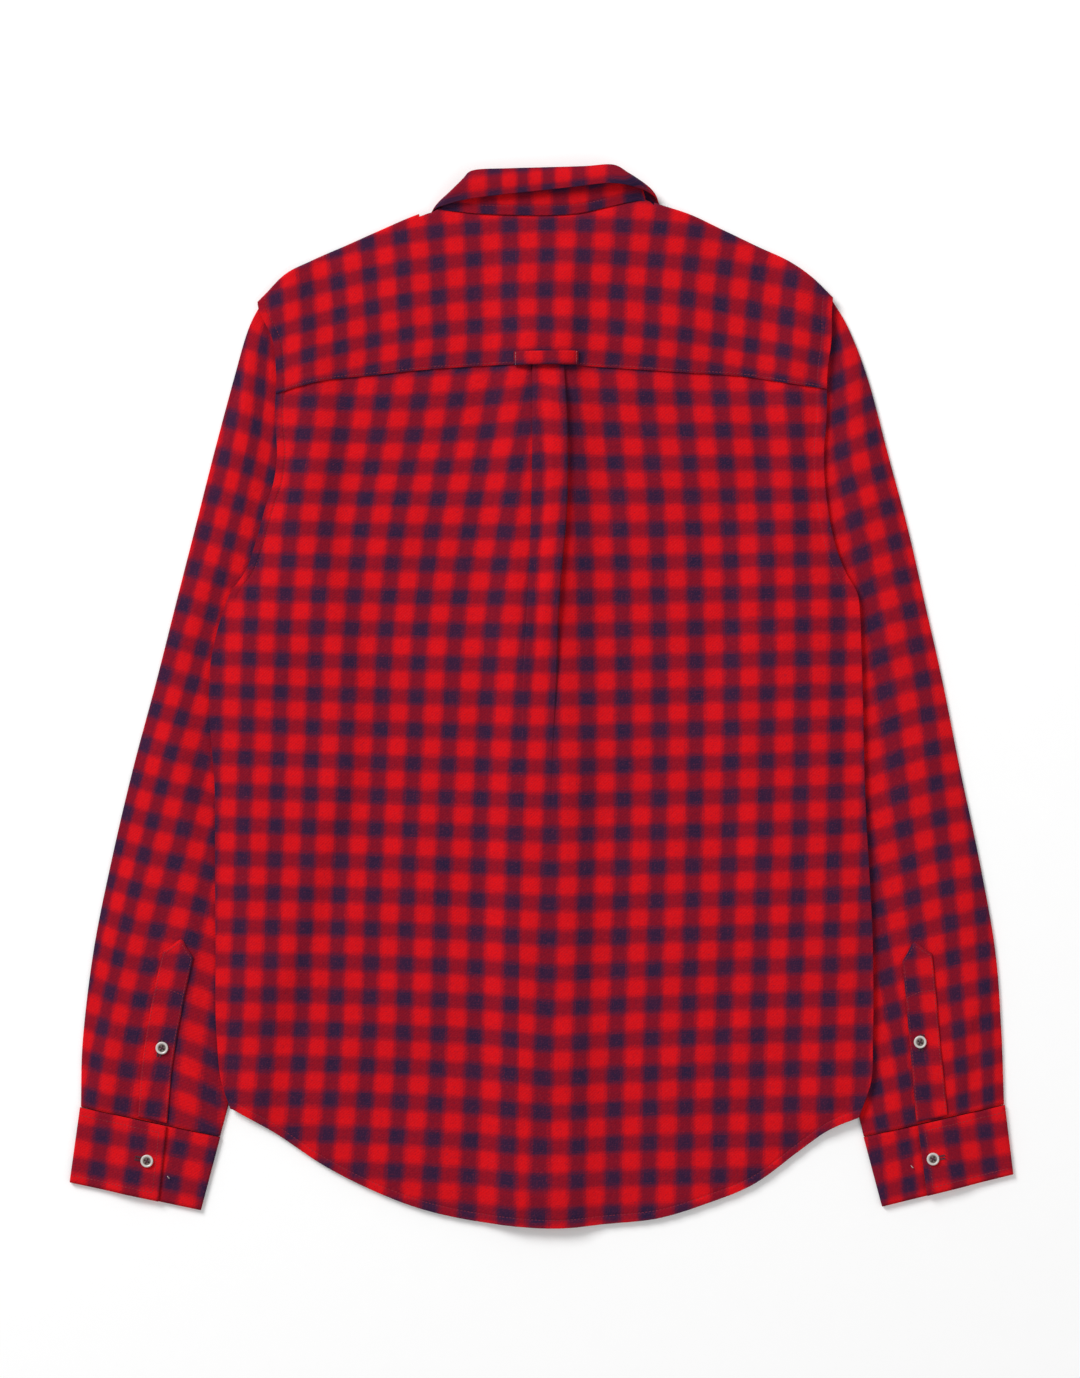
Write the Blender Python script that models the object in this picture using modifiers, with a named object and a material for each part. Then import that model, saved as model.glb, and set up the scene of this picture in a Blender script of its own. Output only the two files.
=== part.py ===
"""A flannel shirt laid flat and face down: back panel, yoke, fronts, collar, sleeves, cuffs and buttons.

Lengths in the tables are millimetres. X runs across the shirt, Y from hem to collar, Z up from the surface
it lies on. Every cloth piece is an open surface worked out from its table and given its wall by Solidify.
"""

import math

import bmesh
import bpy
import numpy as np

MM = 0.001
WALL = 1.0
SEAM_GAP = 0.3
LAYER = WALL + SEAM_GAP
CUFF_WALL = 1.3
FLOOR = WALL / 2

SLEEVE_EDGE_RADIUS = 0.9
SLEEVE_LOFT = 1.6
SLEEVE_RISE = 3.3
BAND_RISE = 3.5
COLLAR_RISE = 1.6
BODY_LOFT = 1.8
LAP_HALF = 16.0
BAND_WIDTH = 32.0
SLEEVE_MARGIN = 15.0
SIDE_SLOPE = 25.0
LOFT_WIDTH = 30.0
FRONT_YOKE_DEPTH = 25.0
RETURN_INSET = 1.5
YOKE_LAP = 6.0
YOKE_CLEARANCE = 0.45
FRONT_SEAM_GAP = 1.0
SHOULDER_BULGE = 2.0
NECK_LEFT, NECK_RIGHT = -83.0, 87.0
FRONT_NECK_Y = 286.0
PLEAT_TURN_RADIUS = 0.65
PLEAT_HEIGHT = 4 * PLEAT_TURN_RADIUS
PLEAT_BLEND = 12.0
CUFF_TURN_RADIUS = 1.175
UNDERLAP_END = 0.45
GAUNTLET_POINT = 0.17
LOOP = dict(left=-20.6, right=27.4, low=248.0, width=10.0, tilt=0.6, arch=1.4, gap=0.2)
COLLAR_SPLIT = 0.95
LEAF_ARCH = 1.5
LEAF_BULGE = 1.6
LEAF_DROP = 5
LEAF_FIRST, LEAF_LAST = 1, 21

# Shares of a panel's width or length at which its grid has a point.
FLAT_SHARES = np.array([0, 0.03, 0.07, 0.12, 0.18, 0.25, 0.34, 0.45, 0.58, 0.72, 0.8, 0.86, 0.91, 0.96])
FRONT_SHARES = np.append(FLAT_SHARES[:9], [0.7, 0.76, 0.8, 0.84, 0.88, 0.94, 1])
BACK_ROWS = np.array([0, 0.012, 0.05, 0.1, 0.16, 0.22, 0.28, 0.34, 0.42, 0.5, 0.6, 0.7, 0.8, 0.9, 0.96, 1])
FRONT_ROWS = np.array([0, 0.05, 0.1, 0.16, 0.22, 0.3, 0.38, 0.48, 0.6, 0.7, 0.8, 0.9, 0.96, 1])
YOKE_ROWS = (1.0, 0.95, 0.85, 0.65, 0.45, 0.25, 0.1, 0.0)
SHOULDER_COLUMNS = 11
NECK_COLUMNS = np.array([-68, -52, -40, -31, -23, -16, -10, -4, 5, 14, 20, 27, 34, 43, 55, 70], float)

BUTTON_RADIUS = 4.75
BUTTON_THICK = 1.8
BUTTON_DISH = 0.5
BUTTON_RIM = 1.3
BUTTON_UNDERCUT = 0.7
BUTTON_BEVEL = 0.4
BUTTON_SLOPE = 0.6
DRILL_DEPTH = 4.0
HOLE_RADIUS = 0.6
HOLE_SPACING = 1.2
BUTTON_SIDES = 14
FRONT_BUTTON_TOP = 232.0
FRONT_BUTTON_PITCH = 92.0
FRONT_BUTTON_COUNT = 6
STAND_BUTTON_Y = 301.0


def table(names, *rows):
    return dict(zip(names.split(), np.array(rows, float).T))


BODY = table(
    "y left right",
    (-316, -231, 238),
    (-290, -240, 247),
    (-258, -243.5, 248.5),
    (-190, -244.5, 248.5),
    (-80, -245, 243),
    (40, -245.5, 239.8),
    (60, -240, 239),
    (78, -233, 236.5),
    (92, -223, 228.5),
    (115, -214.5, 220),
    (140, -207.5, 215),
    (160, -201, 212.7),
    (181, -198.4, 212),
    (210, -200, 214),
    (243, -199, 214.5),
    (268, -202, 217.5),
    (292, -212.5, 218),
    (302, -213.5, 219),
)
HEM = table(
    "x y",
    (-232, -310),
    (-200, -328),
    (-164, -352),
    (-128, -370.5),
    (-92, -384.5),
    (-56, -393),
    (-20, -397.5),
    (5, -399),
    (52, -396),
    (88, -392),
    (124, -381),
    (160, -366),
    (196, -339.5),
    (215, -326),
    (238, -316),
)
YOKE_SEAM = table(
    "x y",
    (-202, 226),
    (-170, 235),
    (-123, 241),
    (-68, 246),
    (14, 248.3),
    (60, 245.5),
    (111, 242.3),
    (149, 240),
    (192, 233.3),
    (216, 230),
)
SHOULDER = table(
    "x y",
    (-214, 294),
    (-206, 302),
    (-195, 313.5),
    (-174, 325.5),
    (-147, 337.5),
    (-120, 349.5),
    (-91, 361.5),
    (-82, 364.5),
    (-66, 362.5),
    (-48, 360.8),
    (5, 360.4),
    (28, 361.5),
    (52, 366.8),
    (69, 369.5),
    (86, 369),
    (96, 366),
    (110, 361.5),
    (136, 349.5),
    (161, 337.5),
    (186, 325.5),
    (203, 313.5),
    (219, 298),
)
PLEAT = table(
    "y left right tuck turn",
    (-140, -17, 6, 0.5, 4),
    (-48, -15, 7.9, 0.5, 30),
    (19, -13.1, 11.2, 0.5, 75),
    (60, -10.7, 12.4, 0.5, 135),
    (92, -9, 14.6, 1.5, 180),
    (135, -7.5, 18.4, 3.5, 180),
    (198, -6.4, 19.3, 6.2, 180),
    (256, -6.4, 16.1, 8, 180),
)
SLEEVE_INNER = table(
    "y left right",
    (-330, -241.9, 242.6),
    (-282, -229.1, 229.1),
    (-217, -214.1, 213),
    (-153, -196.1, 197),
    (-93, -178.1, 179),
    (-40, -166.1, 167),
    (-3, -163.1, 164),
    (42, -170, 172),
    (80, -181, 181),
    (140, -185, 198),
    (181, -182.6, 201),
    (243, -185, 204),
    (292, -205, 211),
)
LEFT_SLEEVE = table(
    "outer_x outer_y inner_x inner_y",
    (-345.6, -308.6, -241.9, -330.8),
    (-344.1, -258, -229.1, -282),
    (-335.9, -190.5, -214.1, -216.8),
    (-322.4, -123, -196.1, -153),
    (-306.6, -55.5, -178.1, -93),
    (-288.6, 12, -166.1, -40.5),
    (-274.4, 68.3, -163.1, 2),
    (-260.1, 124.5, -164, 34),
    (-245.9, 180.8, -172, 70),
    (-230.9, 237, -178, 108),
    (-219.5, 276, -182, 148),
    (-207, 300, -186, 190),
)
RIGHT_SLEEVE = table(
    "outer_x outer_y inner_x inner_y",
    (347.1, -306.8, 242.6, -330.8),
    (345, -250.5, 230.6, -282),
    (340.4, -190.5, 214.9, -224.3),
    (328.4, -123, 198.4, -156.8),
    (314.1, -55.5, 180.4, -96.8),
    (300.6, 12, 168.4, -44.3),
    (287.9, 68.3, 165.4, 2),
    (275.1, 124.5, 168.4, 34),
    (260.1, 180.8, 185, 74),
    (245.1, 237, 191, 110),
    (230.2, 276, 195, 150),
    (214.5, 302.5, 198, 190),
)
CUFF = table(
    "side outer_top_x outer_top_y inner_top_x inner_top_y outer_x outer_y inner_x inner_y lap_top lap",
    (-1, -346.1, -309.1, -241.9, -331.3, -353.9, -365.3, -256.4, -386.0, 0.62, 0.68),
    (1, 347.6, -307.3, 242.6, -331.3, 353.9, -359.3, 256.4, -383.3, 0.62, 0.66),
)
COLLAR = table(
    "seam_x seam_y seam_z roll_x roll_y roll_z edge_x edge_y edge_z turn",
    (14, 287.4, 2.7, 12, 313, 2.0, 0, 300, 0.65, 180),
    (-7, 287.4, 2.7, -7, 317.5, 2.0, -45, 248, 0.65, 180),
    (-24, 291, 2.7, -22, 320.5, 2.0, -60, 266, 0.65, 180),
    (-45, 301.5, 2.8, -40, 329, 2.2, -74, 289, 0.65, 175),
    (-66, 321.5, 3.0, -56, 343, 2.8, -86, 318, 0.65, 165),
    (-77.5, 341, 3.2, -65, 363, 3.4, -93, 348, 0.7, 145),
    (-79.8, 355, 4.0, -68, 373.5, 5.0, -83, 361.8, 1.0, 110),
    (-77, 363.4, 5.5, -64.7, 378.2, 8.8, -80, 365, 5.8, 60),
    (-66, 363.4, 6.4, -57.5, 387.0, 12.0, -74, 367.2, 9.8, 25),
    (-48, 361.6, 6.8, -50, 393.0, 13.4, -60, 370.8, 11.4, 5),
    (-20, 360.5, 6.9, -24, 394.2, 14.2, -36, 374.2, 12.6, 0),
    (5, 360.3, 6.9, 4, 394.9, 14.4, -4, 377.4, 13.4, 0),
    (28, 361.8, 6.9, 32, 395.7, 14.4, 24, 380.3, 14.2, 0),
    (50, 366.6, 6.9, 53, 396.9, 13.6, 52, 383.1, 14.6, -5),
    (66, 370.2, 6.4, 64, 391, 12.0, 73.5, 379.9, 12.0, -25),
    (77, 370.6, 5.5, 73.6, 384.4, 8.8, 84.5, 374.6, 8.0, -60),
    (80.5, 359, 4.0, 76, 379.6, 5.0, 88, 369.4, 1.0, -110),
    (79.5, 344, 3.2, 70, 366, 3.4, 95, 353, 0.7, -145),
    (67, 324, 3.0, 57, 344, 2.8, 88, 320, 0.65, -165),
    (45, 302, 3.1, 42, 331, 2.4, 75, 290, 0.65, -175),
    (28, 293, 3.7, 28, 322, 3.0, 60, 266, 0.65, -180),
    (16, 289, 4.0, 16, 318.5, 3.3, 47, 248, 0.65, -180),
    (-14, 287.4, 4.0, -12, 313, 3.4, 0, 300, 0.65, -180),
)
GAUNTLET = table(
    "side ring free outer",
    (-1, 0.04, 0.62, 0.41),
    (-1, 1, 0.59, 0.395),
    (-1, 2.15, 0.595, 0.41),
    (1, 0.04, 0.627, 0.404),
    (1, 1, 0.594, 0.4),
    (1, 2.15, 0.54, 0.365),
)
SLEEVE_BUTTONS = (
    ("left_gauntlet_button", -284.6, -264.0, 6.0),
    ("left_cuff_button", -295.9, -348.8, 5.6),
    ("right_gauntlet_button", 283.9, -259.5, 6.0),
    ("right_cuff_button", 293.6, -347.3, 5.6),
)


def smooth(keys, values, where):
    """Values at `where` on a smooth curve through the rows of a table, held at its ends."""
    where = np.clip(np.asarray(where, float), keys[0], keys[-1])
    span = np.clip(np.searchsorted(keys, where, side="right") - 1, 0, len(keys) - 2)
    slopes = np.gradient(values, keys)
    step = keys[span + 1] - keys[span]
    part = (where - keys[span]) / step
    start = (1 + 2 * part) * (1 - part) ** 2 * values[span]
    start = start + part * (1 - part) ** 2 * step * slopes[span]
    end = part**2 * (3 - 2 * part) * values[span + 1]
    end = end + part**2 * (part - 1) * step * slopes[span + 1]
    return start + end


def fade(value, full, none):
    """1 where `value` has reached `full`, 0 where it has reached `none`."""
    part = np.clip((np.asarray(value, float) - none) / (full - none), 0, 1)
    return part * part * (3 - 2 * part)


def blended_rise(*rises):
    return sum(rise**4 for rise in rises) ** 0.25


def body_left(y):
    return smooth(BODY["y"], BODY["left"], y)


def body_right(y):
    return smooth(BODY["y"], BODY["right"], y)


def hem_y(x):
    return smooth(HEM["x"], HEM["y"], x)


def yoke_seam_y(x):
    return smooth(YOKE_SEAM["x"], YOKE_SEAM["y"], x)


def shoulder_y(x):
    return smooth(SHOULDER["x"], SHOULDER["y"], x)


def front_top_y(x):
    """The upper edge of a front: the front yoke seam, and the neckline between the neck points."""
    x = np.asarray(x, float)
    seam = shoulder_y(x) - FRONT_YOKE_DEPTH - FRONT_SEAM_GAP
    side = np.where(x < 0, NECK_LEFT, NECK_RIGHT)
    side_y = shoulder_y(side) - FRONT_YOKE_DEPTH - FRONT_SEAM_GAP
    neckline = FRONT_NECK_Y + (side_y - FRONT_NECK_Y) * np.clip(x / side, 0, 1) ** 2.4
    return np.where((x > NECK_LEFT) & (x < NECK_RIGHT), neckline, seam)


def sleeve_cover(x, y):
    left = x - smooth(SLEEVE_INNER["y"], SLEEVE_INNER["left"], y)
    right = smooth(SLEEVE_INNER["y"], SLEEVE_INNER["right"], y) - x
    left = fade(left, SLEEVE_MARGIN, SLEEVE_MARGIN + SIDE_SLOPE)
    right = fade(right, SLEEVE_MARGIN, SLEEVE_MARGIN + SIDE_SLOPE)
    return np.maximum(left, right)


def front_level(x, y, lap=0.0):
    """Height of the middle of a front's wall; `lap` is what it lies higher where the fronts lap."""
    x = np.asarray(x, float)
    sleeves = SLEEVE_RISE * sleeve_cover(x, y)
    band = (BAND_RISE + lap) * fade(np.abs(x), LAP_HALF + 1, LAP_HALF + 32)
    collar = COLLAR_RISE * fade(y, 245, 212) * fade(np.abs(x), 97, 132)
    return FLOOR + blended_rise(sleeves, band * fade(y, 318, 352), collar)


def side_distance(x, y):
    return np.minimum(x - body_left(y), body_right(y) - x)


def back_level(x, y):
    """Height of the middle of the back panel's wall, without its pleat."""
    loft = BODY_LOFT * fade(side_distance(x, y), LOFT_WIDTH, 0)
    return front_level(x, y, LAYER) + LAYER + loft


def yoke_level(x, y):
    left = smooth(PLEAT["y"], PLEAT["left"], y)
    right = smooth(PLEAT["y"], PLEAT["right"], y)
    outside = np.maximum(left - x, x - right)
    over_pleat = fade(outside, 2.5, 2.5 + PLEAT_BLEND) * fade(y, 262, 300)
    return back_level(x, y) + LAYER + YOKE_CLEARANCE + PLEAT_HEIGHT * over_pleat


def panel_points(left, right, top, bottom, across, down):
    """Plan points of a panel between two side edges and an upper and a lower edge."""
    x = left(0.0) + (right(0.0) - left(0.0)) * across
    for _ in range(8):
        y = top(x) + (bottom(x) - top(x)) * down
        x = left(y) + (right(y) - left(y)) * across
    return x, y


def pleat_section(y):
    """Across the pleat at height y: x and rise of the cloth as it turns under the box and out again."""
    names = ("left", "right", "tuck", "turn")
    left, right, tuck, turn = (smooth(PLEAT["y"], PLEAT[name], y) for name in names)
    turn = math.radians(min(float(turn), 180.0))
    radius = PLEAT_TURN_RADIUS
    start = -2 * radius * math.sin(turn) - tuck * math.cos(turn)
    angles = np.linspace(0, turn, 5)
    first_x = start + radius * np.sin(angles)
    first_z = radius * (1 - np.cos(angles))
    second_x = first_x[-1] + tuck * math.cos(turn) + radius * (math.sin(turn) - np.sin(angles[::-1]))
    second_z = first_z[-1] + tuck * math.sin(turn) + radius * (np.cos(angles[::-1]) - math.cos(turn))
    x = np.concatenate([first_x, second_x]) + radius
    z = np.concatenate([first_z, second_z])
    box = np.array([0.3, 0.5, 0.7])
    middle_x = left + x[-1] + (right - left - 2 * x[-1]) * box
    middle_z = np.full(3, z[-1])
    return np.concatenate([left + x, middle_x, (right - x)[::-1]]), np.concatenate([z, middle_z, z[::-1]])


def back_grid(shares, rows):
    """The back panel: flat cloth on both sides of the pleat, one row of points for each height."""
    points = []
    for part in rows:
        centre_y = yoke_seam_y(3.0) + YOKE_LAP + (hem_y(3.0) - yoke_seam_y(3.0) - YOKE_LAP) * part
        pleat_x, pleat_z = pleat_section(centre_y)
        row = []
        for side, edge, start in ((body_left, 0.0, pleat_x[0]), (body_right, 1.0, pleat_x[-1])):
            outer = np.zeros(len(shares))
            for _ in range(8):
                y = yoke_seam_y(outer) + YOKE_LAP
                y = y + (hem_y(outer) - y) * part
                outer = side(y) + (start - side(y)) * shares
            flat = np.stack([outer, y, back_level(outer, y)], -1)
            row.append(flat if edge == 0 else flat[::-1])
        y = yoke_seam_y(pleat_x) + YOKE_LAP
        y = y + (hem_y(pleat_x) - y) * part
        pleat = np.stack([pleat_x, y, back_level(pleat_x, y) + pleat_z], -1)
        points.append(np.concatenate([row[0], pleat, row[1]]))
    return np.array(points)


def front_grid(side, shares, rows):
    across, down = np.meshgrid(shares if side < 0 else 1 - shares[::-1], rows)
    if side < 0:
        edges = (lambda y: body_left(y) + 0.5, lambda y: LAP_HALF + 0 * np.asarray(y))
    else:
        edges = (lambda y: -LAP_HALF + 0 * np.asarray(y), lambda y: body_right(y) - 0.5)
    x, y = panel_points(*edges, front_top_y, lambda x: hem_y(x) + 2, across, down)
    return np.stack([x, y, front_level(x, y, LAYER if side > 0 else 0.0)], -1)


def yoke_grid():
    """The yoke in rows: up the back, round the shoulder fold and down the front, but not at the neck."""
    x_start, x_end = float(body_left(260.0)), float(body_right(260.0))
    left = np.linspace(x_start, NECK_LEFT, SHOULDER_COLUMNS)
    right = np.linspace(NECK_RIGHT, x_end, SHOULDER_COLUMNS)
    across = (np.concatenate([left, NECK_COLUMNS, right]) - x_start) / (x_end - x_start)
    down = np.array(YOKE_ROWS)[:, None] * np.ones(len(across))
    across = across * np.ones((len(down), 1))
    fold_start = lambda x: shoulder_y(x) - SHOULDER_BULGE
    x, y = panel_points(body_left, body_right, fold_start, yoke_seam_y, across, down)
    fold_x, fold_y = x[-1], y[-1]
    upper = yoke_level(fold_x, fold_y)
    lower = front_level(fold_x, fold_y - SHOULDER_BULGE)
    rows = list(np.stack([x, y, yoke_level(x, y)], -1))
    for angle in np.radians([36, 72, 108, 144, 180]):
        out = SHOULDER_BULGE * math.sin(angle)
        height = (upper + lower) / 2 + (upper - lower) / 2 * math.cos(angle)
        rows.append(np.stack([fold_x, fold_y + out, height], -1))
    for share in (0.35, 0.7, 1.0):
        y = fold_y + (SHOULDER_BULGE - FRONT_YOKE_DEPTH) * share
        x = np.clip(fold_x, body_left(y) + RETURN_INSET, body_right(y) - RETURN_INSET)
        y = y + fold_start(x) - fold_y
        rows.append(np.stack([x, y, front_level(x, y)], -1))
    return np.array(rows)


def sleeve_loft(x, y, from_edge):
    """How much a sleeve's upper wall bulges: nothing at its outer fold or where the body lies on it."""
    outside = np.maximum(body_left(y) - x, x - body_right(y))
    return SLEEVE_LOFT * fade(outside, 26, 3) * fade(from_edge, 24, 0)


def sleeve_rings(sleeve, ring_shares, per_side):
    """Closed rings of points round a flattened sleeve, from its cuff end to its hidden upper end."""
    keys = np.arange(len(sleeve["outer_y"]), dtype=float)
    rings = []
    for share in ring_shares * keys[-1]:
        row = {name: float(smooth(keys, values, share)) for name, values in sleeve.items()}
        outer = np.array([row["outer_x"], row["outer_y"]])
        inner = np.array([row["inner_x"], row["inner_y"]])
        width = np.linalg.norm(inner - outer)
        turn = SLEEVE_EDGE_RADIUS / width
        along = np.linspace(turn, 1 - turn, per_side)
        plan = outer + (inner - outer) * along[:, None]
        loft = sleeve_loft(plan[:, 0], plan[:, 1], along * width)
        corner = np.radians([45, 90, 135])
        round_corner = turn * np.sin(corner)
        across = np.concatenate([along, 1 - turn + round_corner, along[::-1], turn - round_corner])
        mid = FLOOR + SLEEVE_EDGE_RADIUS
        height = np.concatenate(
            [
                np.full(per_side, FLOOR),
                mid - SLEEVE_EDGE_RADIUS * np.cos(corner),
                FLOOR + 2 * SLEEVE_EDGE_RADIUS + loft[::-1],
                mid + SLEEVE_EDGE_RADIUS * np.cos(corner),
            ]
        )
        plan = outer + (inner - outer) * across[:, None]
        rings.append(np.column_stack([plan, height]))
    return np.array(rings)


def sleeve_top(sleeve, ring_share, across):
    """A point on the middle of a sleeve's upper wall."""
    keys = np.arange(len(sleeve["outer_y"]), dtype=float)
    row = {name: smooth(keys, values, ring_share * keys[-1]) for name, values in sleeve.items()}
    x = row["outer_x"] + (row["inner_x"] - row["outer_x"]) * across
    y = row["outer_y"] + (row["inner_y"] - row["outer_y"]) * across
    width = np.hypot(row["inner_x"] - row["outer_x"], row["inner_y"] - row["outer_y"])
    return np.stack([x, y, FLOOR + 2 * SLEEVE_EDGE_RADIUS + sleeve_loft(x, y, across * width)], -1)




def cuff_grid(cuff):
    """The cuff band from its lapped end over the top, round the arm and back under the lap."""
    radius = CUFF_TURN_RADIUS
    low, high = CUFF_WALL / 2, CUFF_WALL / 2 + 2 * radius
    lap_level = high + CUFF_WALL + SEAM_GAP
    rows = []
    for down in (0.0, 0.5, 1.0):
        outer = np.array([cuff["outer_top_x"], cuff["outer_top_y"]]) * (1 - down)
        outer = outer + np.array([cuff["outer_x"], cuff["outer_y"]]) * down
        inner = np.array([cuff["inner_top_x"], cuff["inner_top_y"]]) * (1 - down)
        inner = inner + np.array([cuff["inner_x"], cuff["inner_y"]]) * down
        turn = radius / np.linalg.norm(inner - outer)
        lap = cuff["lap_top"] * (1 - down) + cuff["lap"] * down
        arc = np.radians([45, 90, 135])
        top = np.array([lap, 0.56, 0.47, 0.41, 0.3, 0.2, 0.1, turn])
        top_level = np.array([lap_level] * 4 + [high + 0.6] + [high] * 3)
        bottom = np.array([turn, 0.25, 0.5, 0.75, 1 - turn])
        under = np.array([1 - turn, 0.9, 0.78, 0.66, 0.55, UNDERLAP_END])
        round_arc = turn * np.sin(arc)
        across = np.concatenate([top, turn - round_arc, bottom, 1 - turn + round_arc, under])
        mid = low + radius
        level = np.concatenate(
            [
                top_level,
                mid + radius * np.cos(arc),
                np.full(len(bottom), low),
                mid - radius * np.cos(arc),
                np.full(len(under), high),
            ]
        )
        plan = outer + (inner - outer) * across[:, None]
        rows.append(np.column_stack([plan, level]))
    return np.array(rows)


def gauntlet_grid(side, sleeve):
    """The placket strip, laid on the sleeve's upper wall and pointed at its upper end."""
    chosen = GAUNTLET["side"] == side
    ring, free, outer = (GAUNTLET[name][chosen] for name in ("ring", "free", "outer"))
    last = len(sleeve["outer_y"]) - 1
    rows = []
    for share in np.linspace(0, 1, 9):
        at_ring = ring[0] + (ring[-1] - ring[0]) * share
        edges = smooth(ring, free, at_ring), smooth(ring, outer, at_ring)
        row = []
        for across in np.linspace(0, 1, 5):
            point = GAUNTLET_POINT * (1 - abs(2 * across - 1)) * share**8
            place = edges[0] + (edges[1] - edges[0]) * across
            spot = sleeve_top(sleeve, (at_ring + point) / last, place)
            row.append(spot + np.array([0, 0, LAYER]))
        rows.append(row)
    return np.array(rows)


def loop_grid():
    across, up = np.meshgrid(np.linspace(0, 1, 9), np.linspace(0, 1, 3))
    x = LOOP["left"] + (LOOP["right"] - LOOP["left"]) * across
    y = LOOP["low"] + LOOP["width"] * up + LOOP["tilt"] * (across - 0.5)
    rise = LAYER + LOOP["gap"] + LOOP["arch"] * np.sin(math.pi * across)
    return np.stack([x, y, yoke_level(x, y) + rise], -1)


def band_grid():
    across, down = np.meshgrid(np.linspace(-1, 1, 4), np.linspace(0, 1, 14))
    x = across * BAND_WIDTH / 2
    y = front_top_y(x) + (hem_y(x) + 2 - front_top_y(x)) * down
    return np.stack([x, y, np.full_like(x, FLOOR + BAND_RISE - LAYER)], -1)


def collar_station(at):
    keys = np.arange(len(COLLAR["turn"]), dtype=float)
    row = {name: smooth(keys, values, at) for name, values in COLLAR.items()}
    turn = np.radians(row["turn"])
    outward = np.stack([-0.8 * np.sin(turn), 0.6 * np.abs(np.sin(turn)), np.cos(turn)], -1)
    lines = (np.stack([row[f"{part}_{axis}"] for axis in "xyz"], -1) for part in ("seam", "roll", "edge"))
    return *lines, outward


def stand_grid(stations, rows):
    seam, roll, _, outward = collar_station(stations)
    top = roll - COLLAR_SPLIT * outward
    return np.array([seam + (top - seam) * up for up in np.linspace(0, 1, rows)])


def leaf_grid(stations, rows):
    """The turned-down collar: it leaves the roll line level with it and falls to its edge."""
    _, roll, edge, outward = collar_station(stations)
    start = roll + COLLAR_SPLIT * outward
    grid = []
    for share in np.linspace(0, 1, rows):
        point = start + (edge - start) * share
        front = fade(outward[:, 2], -0.4, 0.6)
        drop = (1 - share) ** LEAF_DROP * front + (1 - share) * (1 - front)
        point[:, 2] = edge[:, 2] + (start[:, 2] - edge[:, 2]) * drop
        point[:, 2] += LEAF_ARCH * math.sin(math.pi * share) * (1 - front)
        side = np.hypot(outward[:, 0], outward[:, 1])[:, None]
        bulge = outward * side * LEAF_BULGE * math.sin(math.pi * share) ** 0.6
        bulge[:, 2] = np.maximum(bulge[:, 2], 0)
        grid.append(point + bulge)
    return np.array(grid)



def new_collection(name, hidden):
    made = bpy.data.collections.new(name)
    made.hide_render = hidden
    bpy.context.scene.collection.children.link(made)
    return made


def material(name, colour, roughness):
    made = bpy.data.materials.new(name)
    made.use_nodes = True
    shader = made.node_tree.nodes["Principled BSDF"]
    shader.inputs["Base Color"].default_value = (*colour, 1)
    shader.inputs["Roughness"].default_value = roughness
    shader.inputs["Metallic"].default_value = 0
    return made


def add(name, mesh, look, collection):
    made = bpy.data.objects.new(name, mesh)
    mesh.materials.append(look)
    collection.objects.link(made)
    return made


def sheet(name, grid, look, collection, wall=WALL, ring=False, even=True, keep=None):
    """A grid of points (in millimetres) as an open surface, given its wall by Solidify."""
    grid = np.asarray(grid, float) * MM
    rows, columns = grid.shape[:2]
    mesh = bpy.data.meshes.new(name)
    work = bmesh.new()
    kept = np.ones((rows - 1, columns if ring else columns - 1), bool) if keep is None else keep
    used = {}

    def corner(row, column):
        key = (row, column % columns)
        if key not in used:
            used[key] = work.verts.new(grid[key])
        return used[key]

    for row in range(rows - 1):
        for column in range(kept.shape[1]):
            if kept[row, column]:
                places = ((row, column), (row + 1, column), (row + 1, column + 1), (row, column + 1))
                work.faces.new([corner(*place) for place in places])
    work.to_mesh(mesh)
    work.free()
    made = add(name, mesh, look, collection)
    solid = made.modifiers.new("wall", "SOLIDIFY")
    solid.thickness = wall * MM
    solid.offset = 0
    solid.use_even_offset = even
    for face in mesh.polygons:
        face.use_smooth = True
    return made


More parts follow.
